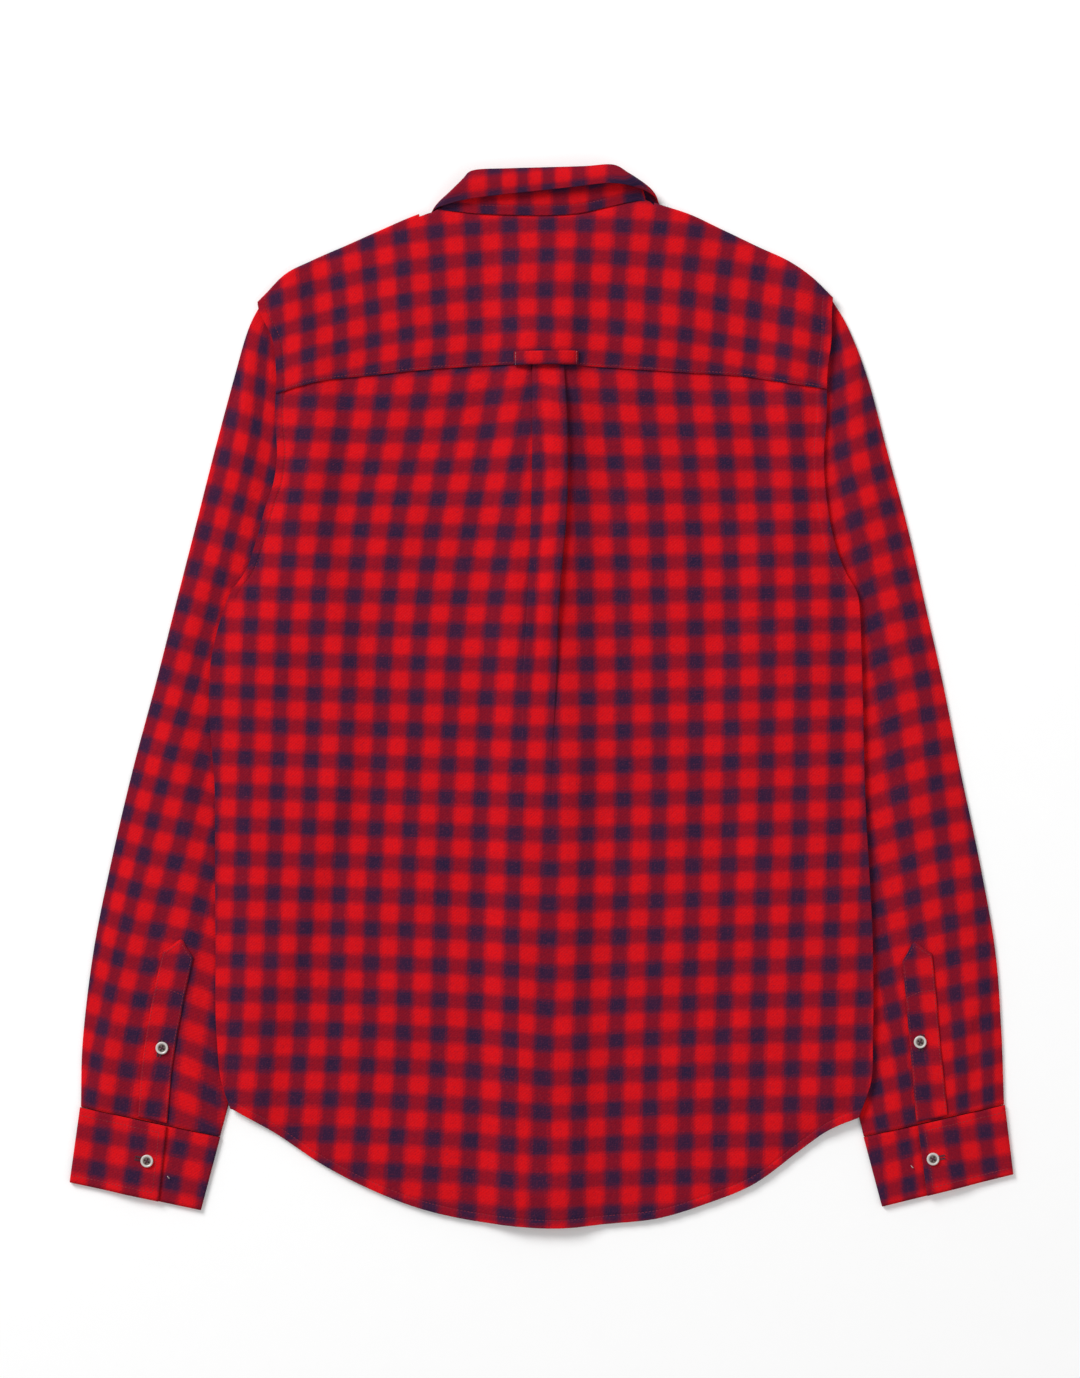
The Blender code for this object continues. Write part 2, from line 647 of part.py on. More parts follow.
def button(name, x, y, low, face_up, look, collection, cutters):
    """A dished button with four holes; `face_up` says which way its front looks."""
    edge, inside = BUTTON_RADIUS, BUTTON_RADIUS - BUTTON_RIM
    top, dish = BUTTON_THICK, BUTTON_THICK - BUTTON_DISH
    profile = ((0, 0), (edge - BUTTON_UNDERCUT, 0), (edge, BUTTON_UNDERCUT), (edge, top - BUTTON_BEVEL))
    profile += ((edge - BUTTON_BEVEL, top), (inside, top), (inside - BUTTON_SLOPE, dish), (0, dish))
    mesh = bpy.data.meshes.new(name)
    points = [(radius * MM, 0, height * MM) for radius, height in reversed(profile)]
    mesh.from_pydata(points, [(i, i + 1) for i in range(len(points) - 1)], [])
    made = add(name, mesh, look, collection)
    turned = made.modifiers.new("turned", "SCREW")
    turned.steps = turned.render_steps = BUTTON_SIDES
    turned.use_merge_vertices = True
    turned.merge_threshold = 0.00001
    for i, (side_x, side_y) in enumerate(((-1, -1), (-1, 1), (1, -1), (1, 1))):
        drill_mesh = bpy.data.meshes.new(f"{name}_drill_{i}")
        work = bmesh.new()
        round_hole = dict(radius1=HOLE_RADIUS * MM, radius2=HOLE_RADIUS * MM, depth=DRILL_DEPTH * MM)
        bmesh.ops.create_cone(work, cap_ends=True, segments=6, **round_hole)
        work.to_mesh(drill_mesh)
        work.free()
        drill = bpy.data.objects.new(f"{name}_drill_{i}", drill_mesh)
        cutters.objects.link(drill)
        drill.parent = made
        drill.location = (side_x * HOLE_SPACING * MM, side_y * HOLE_SPACING * MM, BUTTON_THICK / 2 * MM)
        drill.display_type = "WIRE"
        drill.hide_render = True
        cut = made.modifiers.new(f"hole_{i}", "BOOLEAN")
        cut.operation = "DIFFERENCE"
        cut.solver = "EXACT"
        cut.object = drill
    made.location = (x * MM, y * MM, (low if face_up else low + BUTTON_THICK) * MM)
    made.rotation_euler = (0 if face_up else math.pi, 0, 0)
    return made


def build():
    for old in list(bpy.data.objects):
        bpy.data.objects.remove(old, do_unlink=True)
    shirt = new_collection("flannel_shirt", False)
    cutters = new_collection("cutters", True)
    flannel = material("flannel", (0.36, 0.02, 0.04), 0.95)
    shell = material("button", (0.55, 0.54, 0.52), 0.35)

    sheet("back_panel", back_grid(FLAT_SHARES, BACK_ROWS), flannel, shirt)
    sheet("left_front", front_grid(-1, FRONT_SHARES, FRONT_ROWS), flannel, shirt)
    sheet("right_front", front_grid(1, FRONT_SHARES, FRONT_ROWS), flannel, shirt)
    sheet("front_band", band_grid(), flannel, shirt)
    yoke = yoke_grid()
    keep = np.ones((yoke.shape[0] - 1, yoke.shape[1] - 1), bool)
    keep[len(YOKE_ROWS) - 1 :, SHOULDER_COLUMNS - 1 : -(SHOULDER_COLUMNS - 1)] = False
    sheet("yoke", yoke, flannel, shirt, keep=keep)
    sheet("hanging_loop", loop_grid(), flannel, shirt)
    stations = np.linspace(0, len(COLLAR["turn"]) - 1, 45)
    sheet("collar_stand", stand_grid(stations, 3), flannel, shirt)
    leaf_stations = stations[(stations >= LEAF_FIRST) & (stations <= LEAF_LAST)]
    sheet("collar_leaf", leaf_grid(leaf_stations, 6), flannel, shirt, even=False)
    for side, name, sleeve in ((-1, "left", LEFT_SLEEVE), (1, "right", RIGHT_SLEEVE)):
        rings = sleeve_rings(sleeve, np.linspace(0, 1, 15), 12)
        sheet(f"{name}_sleeve", rings, flannel, shirt, ring=True, even=False)
        index = 0 if side < 0 else 1
        cuff = {key: values[index] for key, values in CUFF.items()}
        sheet(f"{name}_cuff", cuff_grid(cuff), flannel, shirt, wall=CUFF_WALL)
        sheet(f"{name}_gauntlet", gauntlet_grid(side, sleeve), flannel, shirt)
    for i in range(FRONT_BUTTON_COUNT):
        y = FRONT_BUTTON_TOP - i * FRONT_BUTTON_PITCH
        button(f"front_button_{i + 1}", 0, y, 0.1, False, shell, shirt, cutters)
    button("stand_button", 0, STAND_BUTTON_Y, 0.1, False, shell, shirt, cutters)
    for name, x, y, low in SLEEVE_BUTTONS:
        button(name, x, y, low, True, shell, shirt, cutters)


build()
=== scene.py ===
"""The flannel shirt's looks: checked brushed cloth, stitching and buttons over the shirt's own solids."""

import math
import bpy
import numpy as np
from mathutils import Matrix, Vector


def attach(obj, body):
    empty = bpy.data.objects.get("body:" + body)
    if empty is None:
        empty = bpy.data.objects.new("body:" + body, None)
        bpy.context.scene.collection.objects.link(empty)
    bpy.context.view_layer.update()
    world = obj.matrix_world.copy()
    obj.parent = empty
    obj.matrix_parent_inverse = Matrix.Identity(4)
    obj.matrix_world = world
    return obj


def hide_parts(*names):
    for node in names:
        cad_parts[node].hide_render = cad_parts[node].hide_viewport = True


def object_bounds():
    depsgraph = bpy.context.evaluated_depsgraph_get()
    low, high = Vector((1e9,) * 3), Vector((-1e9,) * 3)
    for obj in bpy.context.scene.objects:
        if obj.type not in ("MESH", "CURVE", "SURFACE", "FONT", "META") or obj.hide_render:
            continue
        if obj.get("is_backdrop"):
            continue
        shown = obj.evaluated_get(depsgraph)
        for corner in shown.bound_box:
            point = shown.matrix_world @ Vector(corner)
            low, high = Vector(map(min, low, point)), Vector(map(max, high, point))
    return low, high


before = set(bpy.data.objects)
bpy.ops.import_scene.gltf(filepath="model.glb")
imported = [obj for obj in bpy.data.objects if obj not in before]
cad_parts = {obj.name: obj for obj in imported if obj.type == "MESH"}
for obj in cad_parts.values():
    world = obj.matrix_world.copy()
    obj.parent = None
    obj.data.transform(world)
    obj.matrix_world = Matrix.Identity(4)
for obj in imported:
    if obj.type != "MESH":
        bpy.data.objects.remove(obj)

bl_info = {
    "name": "Flannel shirt",
    "version": (1, 0, 0),
    "blender": (4, 5, 0),
    "location": "View3D > Sidebar > Shirt",
    "description": "Dresses a flannel shirt that lies face down: checked cloth, seams, stitching and buttons",
    "category": "Object",
}

CAD_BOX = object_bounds()

# The shirt's sizes are in millimetres, which MM turns into metres; the stage's are in metres.
MM = 0.001
WALL = 1.0
SEAM_GAP = 0.3
LAYER = WALL + SEAM_GAP
CUFF_WALL = 1.3
FLOOR = WALL / 2

SLEEVE_EDGE_RADIUS = 0.9
SLEEVE_LOFT = 1.6
SLEEVE_RISE = 3.3
BAND_RISE = 3.5
COLLAR_RISE = 1.6
BODY_LOFT = 1.8
LAP_HALF = 16.0
BAND_WIDTH = 32.0
SLEEVE_MARGIN = 15.0
SIDE_SLOPE = 25.0
LOFT_WIDTH = 30.0
FRONT_YOKE_DEPTH = 25.0
RETURN_INSET, DRAWN_WIDTH = 1.5, 60.0
YOKE_LAP = 6.0
YOKE_CLEARANCE = 0.45
FRONT_SEAM_GAP = 1.0
SHOULDER_BULGE = 2.0
NECK_LEFT, NECK_RIGHT = -83.0, 87.0
FRONT_NECK_Y = 286.0
PLEAT_TURN_RADIUS = 0.65
PLEAT_HEIGHT = 4 * PLEAT_TURN_RADIUS
PLEAT_BLEND = 12.0
CUFF_TURN_RADIUS = 1.175
TURN_POINTS, BOX_POINTS = 6, 9
YOKE_SIDE_COLUMNS, YOKE_NECK_COLUMNS = 44, 56
NECK_REACH, NECK_TUCK = 4.0, 1.6
FINE_EDGE = (0, 0.5, 1.1, 2, 3, 4, 5, 5.5, 6, 6.5, 7, 7.5, 8, 9)
BUTTON_RADIUS = 4.75
BUTTON_THICK = 1.8
HOLE_RADIUS = 0.6
HOLE_SPACING = 1.2
FRONT_BUTTON_TOP = 232.0
FRONT_BUTTON_PITCH = 92.0
FRONT_BUTTON_COUNT = 6
STAND_BUTTON_Y = 301.0

SETTLING_ROUNDS = 8
YOKE_MIDDLE_Y = 260.0
PLEAT_LINE_X = 3.0
NECKLINE_CURVE = 2.4
FRONT_SIDE_INSET, FRONT_HEM_INSET = 0.5, 2.0
PLEAT_BOX_ENDS = 0.06, 0.94
YOKE_FOLD_ANGLES = np.radians(np.arange(15, 181, 15))
YOKE_RETURN_SHARES = np.linspace(0.15, 1.0, 8)
CORNER_ANGLES = np.radians([30, 60, 90, 120, 150])
SLEEVE_TOP = FLOOR + 2 * SLEEVE_EDGE_RADIUS
# Each pair is where a slope has its full height and where it ends.
BAND_SLOPE, BAND_END = (LAP_HALF + 1, LAP_HALF + 32), (318, 352)
COLLAR_SLOPE_Y, COLLAR_SLOPE_X = (245, 212), (97, 132)
PLEAT_SLOPE, PLEAT_END = (2.5, 2.5 + PLEAT_BLEND), (262, 300)
NECK_SLOPE_LEFT = (NECK_LEFT + 8, NECK_LEFT + 1)
NECK_SLOPE_RIGHT = (NECK_RIGHT - 8, NECK_RIGHT - 1)
TUCK_SLOPE = (-0.5, -NECK_REACH - 1)
LOFT_BESIDE_BODY, LOFT_BESIDE_FOLD = (26, 3), (24, 0)


def table(names, *rows):
    """Columns by name, each an array down the rows."""
    return dict(zip(names.split(), np.array(rows, float).T))


BODY = table(
    "y left right",
    (-316, -231, 238),
    (-290, -240, 247),
    (-258, -243.5, 248.5),
    (-190, -244.5, 248.5),
    (-80, -245, 243),
    (40, -245.5, 239.8),
    (60, -240, 239),
    (78, -233, 236.5),
    (92, -223, 228.5),
    (115, -214.5, 220),
    (140, -207.5, 215),
    (160, -201, 212.7),
    (181, -198.4, 212),
    (210, -200, 214),
    (243, -199, 214.5),
    (268, -202, 217.5),
    (292, -212.5, 218),
    (302, -213.5, 219),
)
HEM = table(
    "x y",
    (-232, -310),
    (-200, -328),
    (-164, -352),
    (-128, -370.5),
    (-92, -384.5),
    (-56, -393),
    (-20, -397.5),
    (5, -399),
    (52, -396),
    (88, -392),
    (124, -381),
    (160, -366),
    (196, -339.5),
    (215, -326),
    (238, -316),
)
YOKE_SEAM = table(
    "x y",
    (-202, 226),
    (-170, 235),
    (-123, 241),
    (-68, 246),
    (14, 248.3),
    (60, 245.5),
    (111, 242.3),
    (149, 240),
    (192, 233.3),
    (216, 230),
)
SHOULDER = table(
    "x y",
    (-214, 294),
    (-206, 302),
    (-195, 313.5),
    (-174, 325.5),
    (-147, 337.5),
    (-120, 349.5),
    (-91, 361.5),
    (-82, 364.5),
    (-66, 362.5),
    (-48, 360.8),
    (5, 360.4),
    (28, 361.5),
    (52, 366.8),
    (69, 369.5),
    (86, 369),
    (96, 366),
    (110, 361.5),
    (136, 349.5),
    (161, 337.5),
    (186, 325.5),
    (203, 313.5),
    (219, 298),
)
PLEAT = table(
    "y left right tuck turn",
    (-140, -17, 6, 0.5, 4),
    (-48, -15, 7.9, 0.5, 30),
    (19, -13.1, 11.2, 0.5, 75),
    (60, -10.7, 12.4, 0.5, 135),
    (92, -9, 14.6, 1.5, 180),
    (135, -7.5, 18.4, 3.5, 180),
    (198, -6.4, 19.3, 6.2, 180),
    (256, -6.4, 16.1, 8, 180),
)
SLEEVE_INNER = table(
    "y left right",
    (-330, -241.9, 242.6),
    (-282, -229.1, 229.1),
    (-217, -214.1, 213),
    (-153, -196.1, 197),
    (-93, -178.1, 179),
    (-40, -166.1, 167),
    (-3, -163.1, 164),
    (42, -170, 172),
    (80, -181, 181),
    (140, -185, 198),
    (181, -182.6, 201),
    (243, -185, 204),
    (292, -205, 211),
)
LEFT_SLEEVE = table(
    "outer_x outer_y inner_x inner_y",
    (-345.6, -308.6, -241.9, -330.8),
    (-344.1, -258, -229.1, -282),
    (-335.9, -190.5, -214.1, -216.8),
    (-322.4, -123, -196.1, -153),
    (-306.6, -55.5, -178.1, -93),
    (-288.6, 12, -166.1, -40.5),
    (-274.4, 68.3, -163.1, 2),
    (-260.1, 124.5, -164, 34),
    (-245.9, 180.8, -172, 70),
    (-230.9, 237, -178, 108),
    (-219.5, 276, -182, 148),
    (-207, 300, -186, 190),
)
RIGHT_SLEEVE = table(
    "outer_x outer_y inner_x inner_y",
    (347.1, -306.8, 242.6, -330.8),
    (345, -250.5, 230.6, -282),
    (340.4, -190.5, 214.9, -224.3),
    (328.4, -123, 198.4, -156.8),
    (314.1, -55.5, 180.4, -96.8),
    (300.6, 12, 168.4, -44.3),
    (287.9, 68.3, 165.4, 2),
    (275.1, 124.5, 168.4, 34),
    (260.1, 180.8, 185, 74),
    (245.1, 237, 191, 110),
    (230.2, 276, 195, 150),
    (214.5, 302.5, 198, 190),
)
CUFF = table(
    "side outer_top_x outer_top_y inner_top_x inner_top_y outer_x outer_y inner_x inner_y lap_top lap",
    (-1, -346.1, -309.1, -241.9, -331.3, -353.9, -365.3, -256.4, -386.0, 0.62, 0.68),
    (1, 347.6, -307.3, 242.6, -331.3, 353.9, -359.3, 256.4, -383.3, 0.62, 0.66),
)
COLLAR = table(
    "seam_x seam_y seam_z roll_x roll_y roll_z edge_x edge_y edge_z turn",
    (14, 287.4, 2.7, 12, 313, 2.0, 0, 300, 0.65, 180),
    (-7, 287.4, 2.7, -7, 317.5, 2.0, -45, 248, 0.65, 180),
    (-24, 291, 2.7, -22, 320.5, 2.0, -60, 266, 0.65, 180),
    (-45, 301.5, 2.8, -40, 329, 2.2, -74, 289, 0.65, 175),
    (-66, 321.5, 3.0, -56, 343, 2.8, -86, 318, 0.65, 165),
    (-77.5, 341, 3.2, -65, 363, 3.4, -93, 348, 0.7, 145),
    (-79.8, 355, 4.0, -68, 373.5, 5.0, -83, 361.8, 1.0, 110),
    (-77, 363.4, 5.5, -64.7, 378.2, 8.8, -80, 365, 5.8, 60),
    (-66, 363.4, 6.4, -57.5, 387.0, 12.0, -74, 367.2, 9.8, 25),
    (-48, 361.6, 6.8, -50, 393.0, 13.4, -60, 370.8, 11.4, 5),
    (-20, 360.5, 6.9, -24, 394.2, 14.2, -36, 374.2, 12.6, 0),
    (5, 360.3, 6.9, 4, 394.9, 14.4, -4, 377.4, 13.4, 0),
    (28, 361.8, 6.9, 32, 395.7, 14.4, 24, 380.3, 14.2, 0),
    (50, 366.6, 6.9, 53, 396.9, 13.6, 52, 383.1, 14.6, -5),
    (66, 370.2, 6.4, 64, 391, 12.0, 73.5, 379.9, 12.0, -25),
    (77, 370.6, 5.5, 73.6, 384.4, 8.8, 84.5, 374.6, 8.0, -60),
    (80.5, 359, 4.0, 76, 379.6, 5.0, 88, 369.4, 1.0, -110),
    (79.5, 344, 3.2, 70, 366, 3.4, 95, 353, 0.7, -145),
    (67, 324, 3.0, 57, 344, 2.8, 88, 320, 0.65, -165),
    (45, 302, 3.1, 42, 331, 2.4, 75, 290, 0.65, -175),
    (28, 293, 3.7, 28, 322, 3.0, 60, 266, 0.65, -180),
    (16, 289, 4.0, 16, 318.5, 3.3, 47, 248, 0.65, -180),
    (-14, 287.4, 4.0, -12, 313, 3.4, 0, 300, 0.65, -180),
)


def eased(part, step, before, after):
    """At a share of a step between two rows, each given as its value and its slope."""
    start = (1 + 2 * part) * (1 - part) ** 2 * before[0] + part * (1 - part) ** 2 * step * before[1]
    return start + (part**2 * (3 - 2 * part) * after[0] + part**2 * (part - 1) * step * after[1])


def smooth(keys, values, where):
    """Values at `where` on a smooth curve through the rows of a table, held at its ends."""
    where = np.clip(np.asarray(where, float), keys[0], keys[-1])
    span = np.clip(np.searchsorted(keys, where, side="right") - 1, 0, len(keys) - 2)
    slopes = np.gradient(values, keys)
    step = keys[span + 1] - keys[span]
    before, after = (values[span], slopes[span]), (values[span + 1], slopes[span + 1])
    return eased((where - keys[span]) / step, step, before, after)


def along_line(line):
    """The length along a line of points to each of them."""
    return np.concatenate([[0], np.cumsum(np.linalg.norm(np.diff(line, axis=0), axis=1))])


def row_of(rows, index):
    """One row of a table, by the names of its columns."""
    return {name: values[index] for name, values in rows.items()}


def row_between(rows, at):
    """A row of a table at a place counted in rows, between two of them on smooth curves."""
    keys = np.arange(len(next(iter(rows.values()))), dtype=float)
    return {name: smooth(keys, values, at) for name, values in rows.items()}


def fade(value, full, none):
    """1 where `value` has reached `full`, 0 where it has reached `none`."""
    part = np.clip((np.asarray(value, float) - none) / (full - none), 0, 1)
    return part * part * (3 - 2 * part)


def blended_rise(*rises):
    """The highest of several rises, rounded where two of them meet."""
    return sum(rise**4 for rise in rises) ** 0.25


def body_left(y):
    return smooth(BODY["y"], BODY["left"], y)


def body_right(y):
    return smooth(BODY["y"], BODY["right"], y)


def hem_y(x):
    return smooth(HEM["x"], HEM["y"], x)


def yoke_seam_y(x):
    return smooth(YOKE_SEAM["x"], YOKE_SEAM["y"], x)


def shoulder_y(x):
    return smooth(SHOULDER["x"], SHOULDER["y"], x)


def front_top_y(x):
    """The upper edge of a front: the front yoke seam, and the neckline between the neck points."""
    x = np.asarray(x, float)
    seam = shoulder_y(x) - FRONT_YOKE_DEPTH - FRONT_SEAM_GAP
    side = np.where(x < 0, NECK_LEFT, NECK_RIGHT)
    side_y = shoulder_y(side) - FRONT_YOKE_DEPTH - FRONT_SEAM_GAP
    neckline = FRONT_NECK_Y + (side_y - FRONT_NECK_Y) * np.clip(x / side, 0, 1) ** NECKLINE_CURVE
    return np.where((x > NECK_LEFT) & (x < NECK_RIGHT), neckline, seam)


def sleeve_cover(x, y):
    """1 where the body lies on a sleeve, with a slope beside it."""
    left = x - smooth(SLEEVE_INNER["y"], SLEEVE_INNER["left"], y)
    right = smooth(SLEEVE_INNER["y"], SLEEVE_INNER["right"], y) - x
    left = fade(left, SLEEVE_MARGIN, SLEEVE_MARGIN + SIDE_SLOPE)
    right = fade(right, SLEEVE_MARGIN, SLEEVE_MARGIN + SIDE_SLOPE)
    return np.maximum(left, right)


def front_level(x, y, lap=0.0):
    """Height of the middle of a front's wall; `lap` is what it lies higher where the fronts lap."""
    x = np.asarray(x, float)
    sleeves = SLEEVE_RISE * sleeve_cover(x, y)
    band = (BAND_RISE + lap) * fade(np.abs(x), *BAND_SLOPE)
    collar = COLLAR_RISE * fade(y, *COLLAR_SLOPE_Y) * fade(np.abs(x), *COLLAR_SLOPE_X)
    return FLOOR + blended_rise(sleeves, band * fade(y, *BAND_END), collar)


def side_distance(x, y):
    return np.minimum(x - body_left(y), body_right(y) - x)


def back_level(x, y):
    """Height of the middle of the back panel's wall, without its pleat."""
    loft = BODY_LOFT * fade(side_distance(x, y), LOFT_WIDTH, 0)
    return front_level(x, y, LAYER) + LAYER + loft


def yoke_level(x, y):
    """Height of the middle of the yoke's wall, higher over the pleat."""
    left = smooth(PLEAT["y"], PLEAT["left"], y)
    right = smooth(PLEAT["y"], PLEAT["right"], y)
    outside = np.maximum(left - x, x - right)
    over_pleat = fade(outside, *PLEAT_SLOPE) * fade(y, *PLEAT_END)
    return back_level(x, y) + LAYER + YOKE_CLEARANCE + PLEAT_HEIGHT * over_pleat


def panel_points(left, right, top, bottom, across, down):
    """Plan points of a panel between two side edges and an upper and a lower edge."""
    x = left(0.0) + (right(0.0) - left(0.0)) * across
    for _ in range(SETTLING_ROUNDS):
        y = top(x) + (bottom(x) - top(x)) * down
        x = left(y) + (right(y) - left(y)) * across
    return x, y


def pleat_section(y):
    """Across the pleat at height y: x and rise of the cloth as it turns under the box and out again."""
    _, left, right, tuck, turn = (smooth(PLEAT["y"], values, y) for values in PLEAT.values())
    turn = math.radians(min(float(turn), 180.0))
    radius = PLEAT_TURN_RADIUS
    start = -2 * radius * math.sin(turn) - tuck * math.cos(turn)
    angles = np.linspace(0, turn, TURN_POINTS)
    first_x = start + radius * np.sin(angles)
    first_z = radius * (1 - np.cos(angles))
    second_x = first_x[-1] + tuck * math.cos(turn) + radius * (math.sin(turn) - np.sin(angles[::-1]))
    second_z = first_z[-1] + tuck * math.sin(turn) + radius * (np.cos(angles[::-1]) - math.cos(turn))
    x = np.concatenate([first_x, second_x]) + radius
    z = np.concatenate([first_z, second_z])
    box = np.linspace(*PLEAT_BOX_ENDS, BOX_POINTS)
    middle_x = left + x[-1] + (right - left - 2 * x[-1]) * box
    middle_z = np.full(BOX_POINTS, z[-1])
    across = np.concatenate([left + x, middle_x, (right - x)[::-1]])
    return across, np.concatenate([z, middle_z, z[::-1]])


def down_back(x, part):
    """The height at a share of the way from the back's hidden upper edge to its hem."""
    top = yoke_seam_y(x) + YOKE_LAP
    return top + (hem_y(x) - top) * part


def back_grid(shares, rows):
    """The back panel: flat cloth on both sides of the pleat, one row of points for each height."""
    points = []
    for part in rows:
        pleat_x, pleat_z = pleat_section(down_back(PLEAT_LINE_X, part))
        sides = []
        for side, start in ((body_left, pleat_x[0]), (body_right, pleat_x[-1])):
            x = np.zeros(len(shares))
            for _ in range(SETTLING_ROUNDS):
                y = down_back(x, part)
                x = side(y) + (start - side(y)) * shares
            sides.append(np.stack([x, y, back_level(x, y)], -1))
        y = down_back(pleat_x, part)
        pleat = np.stack([pleat_x, y, back_level(pleat_x, y) + pleat_z], -1)
        points.append(np.concatenate([sides[0], pleat, sides[1][::-1]]))
    return np.array(points)


def front_hem_y(x):
    return hem_y(x) + FRONT_HEM_INSET


def front_grid(side, shares, rows):
    """A front panel, from its side edge to where the fronts lap."""
    across, down = np.meshgrid(shares if side < 0 else 1 - shares[::-1], rows)

    def lap(y):
        return -side * LAP_HALF + 0 * np.asarray(y)

    if side < 0:
        edges = (lambda y: body_left(y) + FRONT_SIDE_INSET, lap)
    else:
        edges = (lap, lambda y: body_right(y) - FRONT_SIDE_INSET)
    x, y = panel_points(*edges, front_top_y, front_hem_y, across, down)
    return np.stack([x, y, front_level(x, y, LAYER if side > 0 else 0.0)], -1)


def at_neck(x):
    """1 where the yoke runs under the collar stand, 0 along the shoulders."""
    return fade(x, *NECK_SLOPE_LEFT) * fade(x, *NECK_SLOPE_RIGHT)


def yoke_top_y(x):
    return shoulder_y(x) - SHOULDER_BULGE + NECK_REACH * at_neck(x)


def drawn_in(x, y):
    """Places along a front row of the yoke, its ends drawn in so that they stay behind the back."""
    past_left = np.maximum(body_left(y[0]) + RETURN_INSET - x[0], 0)
    past_right = np.maximum(x[-1] - body_right(y[-1]) + RETURN_INSET, 0)
    near_left = np.clip(1 - (x - x[0]) / DRAWN_WIDTH, 0, 1)
    near_right = np.clip(1 - (x[-1] - x) / DRAWN_WIDTH, 0, 1)
    return x + past_left * near_left - past_right * near_right


def yoke_grid(rows):
    """The yoke in rows: up the back, round the shoulder fold and down the front."""
    start, end = float(body_left(YOKE_MIDDLE_Y)), float(body_right(YOKE_MIDDLE_Y))
    steps = YOKE_SIDE_COLUMNS + 1 - len(FINE_EDGE)
    left = start + (NECK_LEFT - start) * edge_shares(NECK_LEFT - start, FINE_EDGE, steps)
    right = end - (end - NECK_RIGHT) * edge_shares(end - NECK_RIGHT, FINE_EDGE, steps)
    neck = np.linspace(NECK_LEFT, NECK_RIGHT, YOKE_NECK_COLUMNS + 2)[1:-1]
    across = (np.concatenate([left, neck, right[::-1]]) - start) / (end - start)
    down = rows[:, None] * np.ones(len(across))
    across = across * np.ones((len(down), 1))
    x, y = panel_points(body_left, body_right, yoke_top_y, yoke_seam_y, across, down)
    fold_x, fold_y = x[-1], y[-1]
    upper = yoke_level(fold_x, fold_y)
    lower = front_level(fold_x, fold_y - SHOULDER_BULGE)
    tucked = NECK_TUCK * at_neck(x) * fade(y - yoke_top_y(x), *TUCK_SLOPE)
    made = list(np.stack([x, y, yoke_level(x, y) - tucked], -1))
    for angle in YOKE_FOLD_ANGLES:
        out = SHOULDER_BULGE * math.sin(angle)
        height = (upper + lower) / 2 + (upper - lower) / 2 * math.cos(angle)
        made.append(np.stack([fold_x, fold_y + out, height], -1))
    for share in YOKE_RETURN_SHARES:
        y = fold_y + (SHOULDER_BULGE - FRONT_YOKE_DEPTH) * share
        x = drawn_in(fold_x, y)
        y = y + yoke_top_y(x) - fold_y
        made.append(np.stack([x, y, front_level(x, y)], -1))
    return np.array(made)


def sleeve_loft(x, y, from_edge):
    """How much a sleeve's upper wall bulges: nothing at its outer fold or where the body lies on it."""
    outside = np.maximum(body_left(y) - x, x - body_right(y))
    return SLEEVE_LOFT * fade(outside, *LOFT_BESIDE_BODY) * fade(from_edge, *LOFT_BESIDE_FOLD)


def sleeve_rings(sleeve, ring_shares, per_side):
    """Closed rings of points round a flattened sleeve, from its cuff end to its hidden upper end."""
    rings = []
    for place in ring_shares * (len(sleeve["outer_y"]) - 1):
        row = row_between(sleeve, place)
        outer = np.array([row["outer_x"], row["outer_y"]])
        inner = np.array([row["inner_x"], row["inner_y"]])
        width = np.linalg.norm(inner - outer)
        turn = SLEEVE_EDGE_RADIUS / width
        along = np.linspace(turn, 1 - turn, per_side)
        plan = outer + (inner - outer) * along[:, None]
        loft = sleeve_loft(plan[:, 0], plan[:, 1], along * width)
        reach, rise = turn * np.sin(CORNER_ANGLES), SLEEVE_EDGE_RADIUS * np.cos(CORNER_ANGLES)
        across = np.concatenate([along, 1 - turn + reach, along[::-1], turn - reach])
        mid = FLOOR + SLEEVE_EDGE_RADIUS
        levels = [np.full(per_side, FLOOR), mid - rise, SLEEVE_TOP + loft[::-1], mid + rise]
        plan = outer + (inner - outer) * across[:, None]
        rings.append(np.column_stack([plan, np.concatenate(levels)]))
    return np.array(rings)


def sleeve_top(sleeve, ring_share, across):
    """A point on the middle of a sleeve's upper wall."""
    row = row_between(sleeve, ring_share * (len(sleeve["outer_y"]) - 1))
    x = row["outer_x"] + (row["inner_x"] - row["outer_x"]) * across
    y = row["outer_y"] + (row["inner_y"] - row["outer_y"]) * across
    width = np.hypot(row["inner_x"] - row["outer_x"], row["inner_y"] - row["outer_y"])
    return np.stack([x, y, SLEEVE_TOP + sleeve_loft(x, y, across * width)], -1)


GAUNTLET = table(
    "side ring free outer",
    (-1, 0.04, 0.62, 0.41),
    (-1, 1, 0.59, 0.395),
    (-1, 2.15, 0.595, 0.41),
    (1, 0.04, 0.627, 0.404),
    (1, 1, 0.594, 0.4),
    (1, 2.15, 0.54, 0.365),
)
GAUNTLET_ROWS, GAUNTLET_COLUMNS = 9, 5
GAUNTLET_POINT, GAUNTLET_TAPER = 0.17, 8
UNDERLAP_END = 0.45
LOOP = dict(left=-20.6, right=27.4, low=248.0, width=10.0, tilt=0.6, arch=1.4, lift=0.2)
LOOP_COLUMNS, LOOP_ROWS, BAND_COLUMNS, BAND_ROWS = 9, 3, 4, 14
CUFF_ROWS, LAP_POINTS, ARC_POINTS, UNDER_POINTS = 21, 40, 7, 26
CUFF_LEVELS = table(
    "across rise",
    (0.0, 0),
    (0.2, 0),
    (0.3, 0.25),
    (0.41, 1),
    (0.62, 1),
)
COLLAR_SPLIT = 0.95
COLLAR_LEAN_OUT, COLLAR_LEAN_UP = 0.8, 0.6
LEAF_ARCH = 1.5
LEAF_BULGE, LEAF_BULGE_CURVE = 1.6, 0.6
